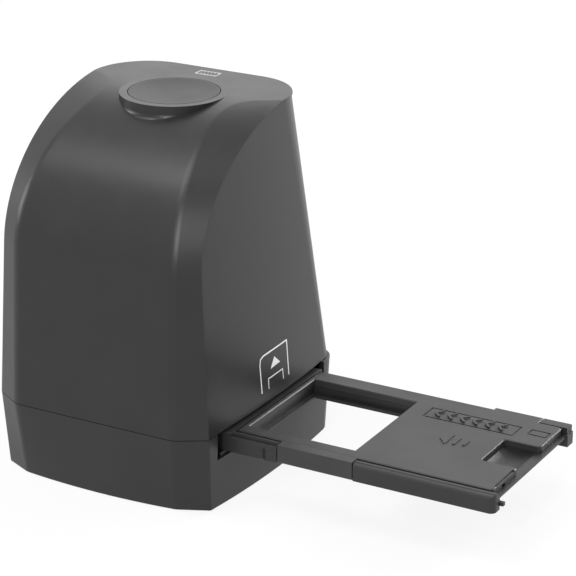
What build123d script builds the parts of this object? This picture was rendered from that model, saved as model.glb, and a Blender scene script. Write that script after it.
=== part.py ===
from build123d import *
import os
from math import acos, atan2, cos, degrees, hypot, radians, sin, tan

# Film negative scanner. Millimetres, +Z up, the front faces -Y and the film tray slides along X.
# x = 0, y = 0 is the optical axis and z = 0 is the plane that the rubber feet stand on.

# ---- housing, outside ----
seam_z = 30.7
housing_top_z = 146.1
seam_gap = 0.25
front_reach = 54.9
front_dome_run = 65.5
front_dome_back = 13.6
facet_turn_deg = 31.2
facet_dome_run = 64.5
facet_dome_back = 2.0
facet_dome_lift = 0.6
shoulder_z = 92.0
crease_radius = 7.0
half_width_seam = 47.5
half_width_top = 41.5
side_bulge = 1.6
side_bulge_y = -2.0
side_bulge_reach = 45.0
back_seam = 54.0
back_top = 41.5
rear_corner_seam = 11.0
rear_corner_top = 23.0
cover_wall = 2.0
cover_lip = 0.8
lip_gap = 0.15
side_recess = 0.5
housing_wall = 2.0
skirt_clearance = 0.3

# ---- base, outside ----
base_bottom_z = 0.5
base_front = 51.0
base_crease_half = 34.4
base_half_width = 46.4
base_corner_y = -45.4
base_front_bulge = 2.2
base_side_bulge = 3.0
base_back = 50.5
base_rear_corner = 10.0
base_corner_radius = 1.0
base_wall = 2.2
notch_front_y = -41.9
notch_back_y = 40.7
notch_bottom_z = 20.3
plate_thickness = 2.2
plate_clearance = 0.3

# ---- feet and fasteners ----
foot_radius = 5.0
foot_thickness = 1.5
foot_x = 33.0
foot_y = 34.0
foot_clearance = 0.3
column_x = 24.0
column_y = 44.2
column_radius = 3.6
column_gap = 0.3
boss_height = 15.0
rib_width = 1.8
case_screw_radius = 1.45
case_screw_head_radius = 2.8
case_screw_head_height = 1.0
case_screw_reach = 12.0
case_slot_length = 3.4
case_slot_width = 0.7
case_slot_depth = 0.6
screw_clearance = 0.25
thread_clearance = 0.05
head_clearance = 0.3
head_recess = 1.2
small_screw_radius = 1.2
small_screw_head_radius = 2.2
small_screw_head_height = 1.4
fine_screw_radius = 0.95
fine_screw_head_radius = 1.7
fine_screw_head_height = 1.2

# ---- film tray ----
tray_half_width = 36.0
tray_bottom_z = 22.1
tray_thickness = 7.4
tray_left_x = -30.0
tray_right_x = 159.6
tray_step_x = 50.0
tray_floor = 1.9
cover_thickness = 2.6
cover_seat_gap = 0.1
mount_size = 51.3
window_size = 46.4
ledge_thickness = 1.0
ledge_margin = 1.2
window_pitch = 77.7
tray_corner_radius = 2.4
tray_far_corner_radius = 0.8
fit_gap = 0.3
edge_rail = 4.4
far_rail = 4.7
far_rail_drop = 0.9
far_rail_setback = 0.8
far_groove_width = 0.8
far_groove_depth = 1.2
cover_left_x = 50.3
cover_right_x = 157.0
cover_well_left_x = 52.3
cover_well_right_x = 97.7
knuckle_left_x = 69.8
knuckle_right_x = 102.2
knuckle_gap = 0.8
knuckle_corner = 0.8
knuckle_swing_gap = 0.4
pin_radius = 0.8
pin_fit = 0.05
pin_overlap = 8.0
tab_left_x = 126.3
tab_right_x = 147.6
scoop_left_x = 142.3
scoop_front_y = -10.2
scoop_back_y = 10.9
scoop_corner = 1.5
leaf_corner = 1.4
leaf_edge = 0.35
rail_edge = 0.5
scoop_depth = 1.6
scoop_run = 13.0
end_pocket_left_x = 154.5
end_strip_right_x = 158.8
end_strip_thickness = 1.0
end_strip_back_y = 30.4
nib_front_y = -31.0
nib_back_y = -29.4
nib_right_x = 161.0
nib_bottom_z = 23.6
nib_top_z = 25.0
latch_notch_y = -22.4
latch_notch_width = 2.6
latch_notch_depth = 1.4
latch_notch_height = 1.4
engraving_depth = 0.35
engraving_width = 0.7
label_left_x = 105.5
label_right_x = 143.6
label_front_y = 14.8
label_back_y = 24.0
stamp_left_x = 147.5
stamp_right_x = 155.5
stamp_front_y = 19.0
stamp_back_y = 24.0
raised_height = 0.35
arrow_tip_x = 120.3
arrow_back_x = 124.4
arrow_y = -0.1
arrow_half_width = 4.6
arrow_bar_width = 1.1
arrow_first_bar_x = 127.4
arrow_first_bar_length = 6.3
arrow_second_bar_x = 131.2
arrow_second_bar_length = 4.5
leaf_step_front_y = -28.5
leaf_step_back_y = -12.4
leaf_step_width = 1.0
leaf_step_depth = 0.5

# ---- tray guide and detents ----
guide_half_length = 46.8
guide_floor = 1.5
guide_wall = 2.0
guide_wall_half_length = 44.5
guide_side_gap = 0.4
guide_window_length = 46.0
guide_window_width = 42.0
detent_x = -14.3
detent_z = 24.6
detent_radius = 1.2
detent_fit = 0.08
detent_travel = 0.6
detent_notch_depth = 0.9
detent_notch_half = 1.6
detent_length = 4.0
detent_boss_half = 3.0
detent_boss_length = 7.0
detent_end_wall = 1.0
detent_spring_wall = 0.35

# ---- film gate, tower and backlight ----
gate_lift = 0.2
gate_thickness = 2.0
gate_half_length = 38.0
gate_half_width = 38.0
gate_window_length = 44.0
gate_window_width = 40.0
post_x = 34.5
post_y = 43.5
post_radius = 3.4
tower_half_length = 30.0
tower_half_width = 27.0
tower_wall = 2.0
tower_flange = 2.0
tower_top_z = 80.0
tower_screw_reach = 10.0
light_box_half_length = 30.0
light_box_half_width = 28.0
light_box_top_z = 19.0
light_box_wall = 1.8
light_box_floor = 1.5
diffuser_thickness = 2.0
diffuser_ledge = 1.0
board_thickness = 1.6
backlight_board_margin = 1.0
led_length = 3.5
led_width = 2.8
led_height = 1.3
led_pitch_x = 16.0
led_pitch_y = 15.0

# ---- lens and sensor ----
holder_flange_half = 19.0
holder_flange = 2.0
holder_outer_radius = 11.0
holder_inner_radius = 9.0
holder_top_z = 104.0
holder_head_half = 17.0
holder_head = 3.0
holder_screw_offset = 15.5
lens_fit = 0.05
barrel_bottom_z = 72.0
barrel_top_z = 96.0
barrel_bore_radius = 7.0
barrel_lip = 1.2
tower_lens_hole = 10.0
lens_edge = 1.2
lens_crown = 1.2
rear_lens_z = 89.0
filter_z = 98.0
filter_thickness = 0.8
sensor_half = 5.5
sensor_height = 1.4
sensor_board_half = 18.0
sensor_screw_offset = 13.5

# ---- boards, socket and cables ----
main_board_y = 34.3
main_board_half_length = 32.0
main_board_bottom_z = 38.0
main_board_top_z = 100.0
standoff_x = 27.0
standoff_low_z = 44.0
standoff_high_z = 74.0
standoff_radius = 2.8
socket_x = 15.0
socket_z = 54.0
socket_width = 12.0
socket_height = 11.0
socket_length = 16.0
socket_wall = 0.6
socket_tongue_width = 5.6
socket_tongue_height = 3.2
socket_tongue_inset = 1.5
socket_base_length = 6.0
socket_gap = 0.4
ribbon_thickness = 0.4
sensor_ribbon_width = 8.0
button_ribbon_width = 4.0
backlight_ribbon_width = 5.0
ribbon_radius = 5.0
processor_size = 14.0
processor_z = 66.0
memory_length = 12.0
memory_width = 9.0
memory_z = 86.0
chip_x = 10.0
chip_thickness = 1.3
button_ribbon_x = 22.0
board_connector_top_z = 97.0
backlight_ribbon_z = 10.0
backlight_ribbon_gap = 2.2
backlight_connector_z = 42.0
connector_depth = 2.3
connector_height = 6.0
connector_wall = 1.2

# ---- scan button ----
button_y = 7.56
collar_radius = 21.3
collar_height = 8.1
collar_straight = 3.2
collar_flare_radius = 2.5
collar_flare_turn_deg = 67.0
button_radius = 17.8
button_gap = 0.3
button_wall = 1.6
button_crown = 2.2
dish_depth = 1.3
dish_radius = 17.0
flange_extra = 1.6
flange_thickness = 1.5
flange_gap = 0.3
button_stem_radius = 2.5
button_travel = 0.5
stem_gap = 0.1
switch_half = 3.0
switch_height = 3.5
plunger_radius = 1.75
plunger_height = 1.5
plunger_depth = 1.2
plunger_fit = 0.08
button_board_drop = 19.7
button_board_half_length = 29.0
button_board_half_width = 7.0
button_boss_x = 25.0
button_boss_radius = 3.0
button_screw_reach = 8.0
roof_bite = 0.9

# ---- worked out from the sizes above ----
span = 110.0
dome_rise = housing_top_z - shoulder_z
facet_turn = radians(facet_turn_deg)
lean_run = (front_reach + front_dome_back) / front_dome_run
lean_drop = (seam_z - shoulder_z) / dome_rise
dome_start = atan2(lean_drop, lean_run) + acos(1 / hypot(lean_run, lean_drop))
upper_bottom_z = seam_z + seam_gap
plate_top_z = base_bottom_z + plate_thickness
tray_top_z = tray_bottom_z + tray_thickness
cover_bottom_z = tray_top_z - cover_thickness
frame_rail_z = cover_bottom_z - cover_seat_gap
tray_floor_z = tray_bottom_z + tray_floor
hinge_radius = edge_rail / 2
hinge_y = -tray_half_width + hinge_radius
hinge_z = tray_top_z - hinge_radius
cover_front_y = -tray_half_width + edge_rail + fit_gap
knuckle_swing = hypot(cover_front_y - hinge_y, hinge_z - tray_bottom_z) + knuckle_swing_gap
cover_back_y = tray_half_width - far_rail - fit_gap
guide_inner_y = tray_half_width + guide_side_gap
guide_outer_y = guide_inner_y + guide_wall
guide_floor_z = notch_bottom_z + guide_floor
gate_z = upper_bottom_z + gate_lift
gate_top_z = gate_z + gate_thickness
flange_top_z = gate_top_z + tower_flange
main_board_back_y = main_board_y + board_thickness
collar_bottom_z = housing_top_z - collar_height
button_board_z = housing_top_z - button_board_drop
button_board_top_z = button_board_z + board_thickness
switch_top_z = button_board_top_z + switch_height
plunger_top_z = switch_top_z + plunger_height
button_flange_top_z = collar_bottom_z - flange_gap
sensor_board_top_z = holder_top_z + board_thickness
connector_gap_y = main_board_y - connector_depth / 2

os.makedirs("parts", exist_ok=True)


def save(piece, name):
    """Label a finished piece and write it under its node name."""
    piece.label = name
    export_step(piece, f"parts/{name}.step")


# ---- outer surfaces that the casings share ----


def side_at(half, y):
    """Half the width of a bulged side at depth y."""
    return half + side_bulge * (1 - ((y - side_bulge_y) / side_bulge_reach) ** 2)


def side_outline(half, back, corner, z):
    """Plan outline of the two bulged sides and the back, open-ended past the front face."""
    front = -front_reach - 2 * side_bulge_reach / 9
    with BuildSketch(Plane.XY.offset(z)) as outline:
        with BuildLine():
            Line((-side_at(half, front), front), (side_at(half, front), front))
            for side in (1, -1):
                ThreePointArc(
                    (side * side_at(half, front), front),
                    (side * (half + side_bulge), side_bulge_y),
                    (side * side_at(half, back), back),
                )
            Line((-side_at(half, back), back), (side_at(half, back), back))
        make_face()
        fillet(outline.vertices().group_by(Axis.Y)[-1], corner)
    return outline.sketch


def side_core(inset):
    """Everything inside the sides and the back, set in by inset."""
    seam = side_outline(half_width_seam - inset, back_seam - inset, rear_corner_seam - inset, seam_z)
    top = side_outline(
        half_width_top - inset, back_top - inset, rear_corner_top - inset, housing_top_z
    )
    with BuildPart() as core:
        loft(sections=[seam, top], ruled=True)
    return core.part


def facet_plane(turn):
    """Upright plane whose first axis points out of a facet turned away from the front."""
    return Plane(
        origin=(span * cos(turn), span * sin(turn), 0),
        x_dir=(sin(turn), -cos(turn), 0),
        z_dir=(-cos(turn), -sin(turn), 0),
    )


def facet_prism(turn, back, run, lift, inset, bottom_z):
    """Everything behind one facet: a leaning straight foot that runs into a dome."""
    across = run - inset
    rise = dome_rise - inset + lift
    bend_z = shoulder_z + (dome_rise - inset) * sin(dome_start)
    slope = across / rise * tan(dome_start)
    foot = -back + across * cos(dome_start) + slope * (bend_z - bottom_z)
    with BuildPart() as prism:
        with BuildSketch(facet_plane(turn)):
            with BuildLine():
                dome = EllipticalCenterArc(
                    (-back, bend_z - rise * sin(dome_start)),
                    across,
                    rise,
                    start_angle=degrees(dome_start),
                    arc_size=90 - degrees(dome_start),
                )
                Polyline(dome @ 1, (-span, (dome @ 1).Y), (-span, bottom_z), (foot, bottom_z), dome @ 0)
            make_face()
        extrude(amount=2 * span)
    return prism.part


def facet_core(inset):
    """Everything behind the domed front and its two side facets, set in by inset."""
    with BuildPart() as core:
        add(facet_prism(0, front_dome_back, front_dome_run, 0, inset, seam_z))
        for side in (1, -1):
            facet = facet_prism(
                side * facet_turn, facet_dome_back, facet_dome_run, facet_dome_lift, inset, notch_bottom_z
            )
            add(facet, mode=Mode.INTERSECT)
        ridges = core.edges().filter_by(
            lambda edge: crease_radius < abs((edge @ 0.5).X) < half_width_top
            and (edge @ 0.5).Y < 0
            and (edge @ 0.5).Z > seam_z + crease_radius
        )
        fillet(ridges, crease_radius - inset)
    return core.part


def base_outline(front, crease_half, half, corner_y, front_bulge, bulge, back, corner, z, inset):
    """Plan outline of the base at one height, set in by inset."""
    crease = crease_half - inset * tan(facet_turn / 2)
    front_y = -front + inset
    side_y = corner_y + inset * (1 - sin(facet_turn)) / cos(facet_turn)
    side_x = half - inset
    back_y = back - inset
    with BuildSketch(Plane.XY.offset(z)) as outline:
        with BuildLine():
            ThreePointArc((-crease, front_y), (0, front_y - front_bulge), (crease, front_y))
            for side in (1, -1):
                Line((side * crease, front_y), (side * side_x, side_y))
                ThreePointArc(
                    (side * side_x, side_y),
                    (side * (side_x + bulge), side_bulge_y),
                    (side * (side_x + bulge / 9), back_y),
                )
            Line((-side_x - bulge / 9, back_y), (side_x + bulge / 9, back_y))
        make_face()
        rows = outline.vertices().group_by(Axis.Y)
        fillet(rows[0], crease_radius - inset)
        corners = outline.vertices().filter_by(
            lambda point: abs(abs(point.X) - side_x) < base_corner_radius / 9
            and abs(point.Y - side_y) < base_corner_radius / 9
        )
        fillet(corners, base_corner_radius)
        fillet(outline.vertices().group_by(Axis.Y)[-1], corner - inset)
    return outline.sketch


def base_core(inset):
    """Everything inside the base, set in by inset."""
    facet_run = -facet_dome_back + facet_dome_run * cos(dome_start)
    facet_rise = shoulder_z + dome_rise * sin(dome_start) - seam_z
    facet_run += facet_dome_run / dome_rise * tan(dome_start) * facet_rise
    seam_crease = (facet_run - front_reach * cos(facet_turn)) / sin(facet_turn)
    seam_corner_y = -(facet_run - half_width_seam * sin(facet_turn)) / cos(facet_turn)
    bottom = base_outline(
        base_front, base_crease_half, base_half_width, base_corner_y, base_front_bulge,
        base_side_bulge, base_back, base_rear_corner, base_bottom_z, inset,
    )
    top = base_outline(
        front_reach, seam_crease, half_width_seam, seam_corner_y, cover_lip / 9,
        side_bulge, back_seam, rear_corner_seam, seam_z, inset,
    )
    with BuildPart() as core:
        loft(sections=[bottom, top], ruled=True)
    return core.part


def corner_spots(x, y):
    """The four places at plus and minus x and y."""
    return [(side * x, end * y) for side in (1, -1) for end in (1, -1)]


# ---- base ----
shell_outer = base_core(0)
shell_inner = base_core(base_wall)

with BuildPart() as base_columns:
    with BuildSketch(Plane.XY.offset(plate_top_z)):
        with Locations(*corner_spots(column_x, column_y)):
            Circle(column_radius)
        with Locations(*corner_spots(column_x, (column_y + back_seam) / 2)):
            Rectangle(rib_width, back_seam - column_y)
    extrude(amount=seam_z - column_gap - plate_top_z)
    add(base_core(base_wall / 2), mode=Mode.INTERSECT)

with BuildPart() as base_shell:
    add(shell_outer)
    add(shell_inner, mode=Mode.SUBTRACT)
    add(base_columns.part)
    with BuildSketch(Plane.XY.offset(plate_top_z)):
        with Locations(*corner_spots(column_x, column_y)):
            Circle(case_screw_radius + screw_clearance)
    extrude(amount=seam_z, mode=Mode.SUBTRACT)
    with BuildSketch(Plane.XY.offset(notch_bottom_z)):
        for side in (1, -1):
            with Locations((side * half_width_seam, (notch_front_y + notch_back_y) / 2)):
                Rectangle(4 * base_wall + 2 * base_side_bulge, notch_back_y - notch_front_y)
    extrude(amount=seam_z, mode=Mode.SUBTRACT)
save(base_shell.part, "base_shell")

plate_blank = base_core(base_wall + plate_clearance)

with BuildPart() as base_plate:
    add(plate_blank)
    with BuildSketch(Plane.XY.offset(plate_top_z)):
        Rectangle(2 * span, 2 * span)
    extrude(amount=span, mode=Mode.SUBTRACT)
    with BuildSketch(Plane.XY.offset(plate_top_z)):
        with Locations(*corner_spots(post_x, post_y)):
            Circle(post_radius)
    extrude(amount=gate_z - plate_top_z)
    with BuildSketch(Plane.XY.offset(gate_z)):
        with Locations(*corner_spots(post_x, post_y)):
            Circle(small_screw_radius + thread_clearance)
    extrude(amount=-tower_screw_reach, mode=Mode.SUBTRACT)
    with BuildSketch(Plane.XY.offset(base_bottom_z)):
        with Locations(*corner_spots(column_x, column_y)):
            Circle(case_screw_head_radius + head_clearance)
    extrude(amount=head_recess, mode=Mode.SUBTRACT)
    with BuildSketch(Plane.XY.offset(base_bottom_z)):
        with Locations(*corner_spots(column_x, column_y)):
            Circle(case_screw_radius + screw_clearance)
    extrude(amount=plate_thickness, mode=Mode.SUBTRACT)
    with BuildSketch(Plane.XY.offset(base_bottom_z)):
        with Locations(*corner_spots(foot_x, foot_y)):
            Circle(foot_radius + foot_clearance)
    extrude(amount=foot_thickness - base_bottom_z, mode=Mode.SUBTRACT)
save(base_plate.part, "base_plate")

with BuildPart() as rubber_feet:
    with BuildSketch():
        with Locations(*corner_spots(foot_x, foot_y)):
            Circle(foot_radius)
    extrude(amount=foot_thickness)
save(rubber_feet.part, "rubber_feet")

case_screw_seat_z = base_bottom_z + head_recess
case_screw_tip_z = upper_bottom_z + column_gap + case_screw_reach

with BuildPart() as case_screws:
    with BuildSketch(Plane.XY.offset(case_screw_seat_z)):
        with Locations(*corner_spots(column_x, column_y)):
            Circle(case_screw_head_radius)
    extrude(amount=-case_screw_head_height)
    with BuildSketch(Plane.XY.offset(case_screw_seat_z)):
        with Locations(*corner_spots(column_x, column_y)):
            Circle(case_screw_radius)
    extrude(amount=case_screw_tip_z - case_screw_seat_z)
    with BuildSketch(Plane.XY.offset(case_screw_seat_z - case_screw_head_height)):
        with Locations(*corner_spots(column_x, column_y)):
            Rectangle(case_slot_length, case_slot_width)
            Rectangle(case_slot_width, case_slot_length)
    extrude(amount=case_slot_depth, mode=Mode.SUBTRACT)
save(case_screws.part, "case_screws")

# ---- front cover ----
cover_outer = facet_core(0)
cover_lip_core = facet_core(cover_lip)
cover_inner = facet_core(cover_wall)
side_outer = side_core(0)
skirt_core = side_core(side_recess + housing_wall + skirt_clearance)
button_spot = (0, button_y)

with BuildPart() as lip_cut:
    add(cover_lip_core)
    add(skirt_core, mode=Mode.SUBTRACT)

with BuildPart() as front_cover:
    add(cover_outer)
    add(side_outer, mode=Mode.INTERSECT)
    with BuildSketch(Plane.XZ.offset(-button_y)):
        with BuildLine():
            flare = CenterArc(
                (collar_radius + collar_flare_radius, housing_top_z - collar_straight),
                collar_flare_radius,
                start_angle=180,
                arc_size=collar_flare_turn_deg,
            )
            Polyline(
                flare @ 1,
                ((flare @ 1).X, collar_bottom_z),
                (0, collar_bottom_z),
                (0, housing_top_z),
                (collar_radius, housing_top_z),
                flare @ 0,
            )
        make_face()
    revolve(axis=Axis((0, button_y, 0), (0, 0, 1)))
    add(cover_inner, mode=Mode.SUBTRACT)
    add(lip_cut.part, mode=Mode.SUBTRACT)
    with BuildSketch(Plane.XY.offset(collar_bottom_z)):
        with Locations(button_spot):
            Circle(collar_radius)
    extrude(amount=housing_top_z - collar_bottom_z)
    with BuildSketch(Plane.XY.offset(collar_bottom_z)):
        with Locations(button_spot):
            Circle(button_radius + button_gap)
    extrude(amount=housing_top_z - collar_bottom_z, mode=Mode.SUBTRACT)
    with BuildSketch(Plane.XY.offset(button_board_top_z)):
        with Locations((button_boss_x, button_y), (-button_boss_x, button_y)):
            Circle(button_boss_radius)
    extrude(amount=housing_top_z - roof_bite - button_board_top_z)
    with BuildSketch(Plane.XY.offset(button_board_top_z)):
        with Locations((button_boss_x, button_y), (-button_boss_x, button_y)):
            Circle(small_screw_radius + thread_clearance)
    extrude(amount=button_screw_reach, mode=Mode.SUBTRACT)
    with BuildSketch(Plane.XY.offset(upper_bottom_z)):
        with Locations((column_x, -column_y), (-column_x, -column_y)):
            Circle(column_radius)
        reach = front_reach - cover_wall + rib_width / 3
        with Locations((column_x, -(column_y + reach) / 2), (-column_x, -(column_y + reach) / 2)):
            Rectangle(rib_width, reach - column_y)
    extrude(amount=boss_height)
    with BuildSketch(Plane.XY.offset(upper_bottom_z)):
        with Locations((column_x, -column_y), (-column_x, -column_y)):
            Circle(case_screw_radius + thread_clearance)
    extrude(amount=boss_height - rib_width, mode=Mode.SUBTRACT)
    with BuildSketch(Plane.XY.offset(upper_bottom_z)):
        Rectangle(2 * span, 2 * span)
    extrude(amount=-span, mode=Mode.SUBTRACT)
save(front_cover.part, "front_cover")

# ---- rear housing ----
housing_outer = side_core(side_recess)
housing_inner = side_core(side_recess + housing_wall)
housing_limit = facet_core(cover_lip + lip_gap)

with BuildPart() as rear_housing:
    add(housing_outer)
    add(housing_inner, mode=Mode.SUBTRACT)
    add(housing_limit, mode=Mode.INTERSECT)
    with BuildSketch(Plane.XY.offset(upper_bottom_z)):
        with Locations((column_x, column_y), (-column_x, column_y)):
            Circle(column_radius)
        reach = back_seam - side_recess - housing_wall
        with Locations((column_x, (column_y + reach) / 2), (-column_x, (column_y + reach) / 2)):
            Rectangle(rib_width, reach - column_y)
    extrude(amount=boss_height)
    with BuildSketch(Plane.XY.offset(upper_bottom_z)):
        with Locations((column_x, column_y), (-column_x, column_y)):
            Circle(case_screw_radius + thread_clearance)
    extrude(amount=boss_height - rib_width, mode=Mode.SUBTRACT)
    with BuildSketch(Plane.XZ.offset(-main_board_y)):
        with Locations((socket_x, socket_z)):
            Rectangle(socket_width + 2 * socket_gap, socket_height + 2 * socket_gap)
    extrude(amount=-span, mode=Mode.SUBTRACT)
    with BuildSketch(Plane.XY.offset(upper_bottom_z)):
        Rectangle(2 * span, 2 * span)
    extrude(amount=-span, mode=Mode.SUBTRACT)
save(rear_housing.part, "rear_housing")

# ---- scan button, switch and their board ----
dish_sphere = (dish_radius**2 + dish_depth**2) / (2 * dish_depth)
cap_ceiling_z = housing_top_z - button_crown - dish_depth
stem_bottom_z = plunger_top_z + stem_gap

with BuildPart() as scan_button:
    with BuildSketch(Plane.XY.offset(button_flange_top_z - flange_thickness)):
        with Locations(button_spot):
            Circle(button_radius + flange_extra)
    extrude(amount=flange_thickness)
    with BuildSketch(Plane.XY.offset(button_flange_top_z)):
        with Locations(button_spot):
            Circle(button_radius)
    extrude(amount=housing_top_z - button_flange_top_z)
    with BuildSketch(Plane.XY.offset(button_flange_top_z - flange_thickness)):
        with Locations(button_spot):
            Circle(button_radius - button_wall)
    extrude(amount=cap_ceiling_z - button_flange_top_z + flange_thickness, mode=Mode.SUBTRACT)
    with BuildSketch(Plane.XY.offset(stem_bottom_z)):
        with Locations(button_spot):
            Circle(button_stem_radius)
    extrude(amount=cap_ceiling_z - stem_bottom_z + button_wall / 2)
    with Locations((0, button_y, housing_top_z - dish_depth + dish_sphere)):
        Sphere(dish_sphere, mode=Mode.SUBTRACT)
save(scan_button.part, "scan_button")

with BuildPart() as button_board:
    with BuildSketch(Plane.XY.offset(button_board_z)):
        with Locations(button_spot):
            Rectangle(2 * button_board_half_length, 2 * button_board_half_width)
        with Locations((button_boss_x, button_y), (-button_boss_x, button_y)):
            Circle(small_screw_radius + screw_clearance, mode=Mode.SUBTRACT)
    extrude(amount=board_thickness)
save(button_board.part, "button_board")

with BuildPart() as button_board_screws:
    with BuildSketch(Plane.XY.offset(button_board_z)):
        with Locations((button_boss_x, button_y), (-button_boss_x, button_y)):
            Circle(small_screw_head_radius)
    extrude(amount=-small_screw_head_height)
    with BuildSketch(Plane.XY.offset(button_board_z)):
        with Locations((button_boss_x, button_y), (-button_boss_x, button_y)):
            Circle(small_screw_radius)
    extrude(amount=button_screw_reach)
save(button_board_screws.part, "button_board_screws")

with BuildPart() as tact_switch:
    with BuildSketch(Plane.XY.offset(button_board_top_z)):
        with Locations(button_spot):
            Rectangle(2 * switch_half, 2 * switch_half)
    extrude(amount=switch_height)
    with BuildSketch(Plane.XY.offset(switch_top_z)):
        with Locations(button_spot):
            Circle(plunger_radius + plunger_fit)
    extrude(amount=-plunger_depth - button_travel - plunger_fit, mode=Mode.SUBTRACT)
save(tact_switch.part, "tact_switch")

with BuildPart() as tact_plunger:
    with BuildSketch(Plane.XY.offset(switch_top_z - plunger_depth)):
        with Locations(button_spot):
            Circle(plunger_radius)
    extrude(amount=plunger_depth + plunger_height)
save(tact_plunger.part, "tact_plunger")

# ---- tray guide with its two detents ----
detent_boss_y = guide_outer_y + detent_boss_length
detent_bore_end = detent_boss_y - detent_end_wall

with BuildPart() as tray_guide:
    with BuildSketch(Plane.XY.offset(notch_bottom_z)):
        Rectangle(2 * guide_half_length, 2 * guide_outer_y)
        Rectangle(guide_window_length, guide_window_width, mode=Mode.SUBTRACT)
    extrude(amount=guide_floor)
    with BuildSketch(Plane.XY.offset(guide_floor_z)):
        for end in (1, -1):
            with Locations((0, end * (guide_inner_y + guide_outer_y) / 2)):
                Rectangle(2 * guide_wall_half_length, guide_wall)
    extrude(amount=gate_z - fit_gap - guide_floor_z)
    with BuildSketch(Plane.XY.offset(guide_floor_z - guide_floor)):
        for end in (1, -1):
            with Locations((detent_x, end * (guide_inner_y + guide_wall / 2 + detent_boss_y) / 2)):
                Rectangle(2 * detent_boss_half, detent_boss_y - guide_inner_y - guide_wall / 2)
    extrude(amount=detent_z + detent_boss_half - guide_floor_z + guide_floor)
    for end in (1, -1):
        with BuildSketch(Plane.XZ.offset(-end * guide_inner_y)):
            with Locations((detent_x, detent_z)):
                Circle(detent_radius + detent_fit)
        extrude(amount=-end * (detent_bore_end - guide_inner_y), mode=Mode.SUBTRACT)
save(tray_guide.part, "tray_guide")

detent_tip_y = tray_half_width + fit_gap
detent_spring_y = detent_tip_y + detent_length + detent_travel + detent_fit
for end, name in ((-1, "front_detent_plunger"), (1, "rear_detent_plunger")):
    with BuildPart() as plunger:
        with BuildSketch(Plane.XZ.offset(-end * (detent_tip_y + detent_radius))):
            with Locations((detent_x, detent_z)):
                Circle(detent_radius)
        extrude(amount=-end * (detent_length - detent_radius))
        with Locations((detent_x, end * (detent_tip_y + detent_radius), detent_z)):
            Sphere(detent_radius)
    save(plunger.part, name)

for end, name in ((-1, "front_detent_spring"), (1, "rear_detent_spring")):
    with BuildPart() as spring:
        with BuildSketch(Plane.XZ.offset(-end * detent_bore_end)):
            with Locations((detent_x, detent_z)):
                Circle(detent_radius)
                Circle(detent_radius - detent_spring_wall, mode=Mode.SUBTRACT)
        extrude(amount=end * (detent_bore_end - detent_spring_y))
    save(spring.part, name)

# ---- film tray ----
window_1_x = window_pitch
hinge_pin_left_x = knuckle_left_x - pin_overlap
hinge_pin_right_x = knuckle_right_x + pin_overlap

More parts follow.
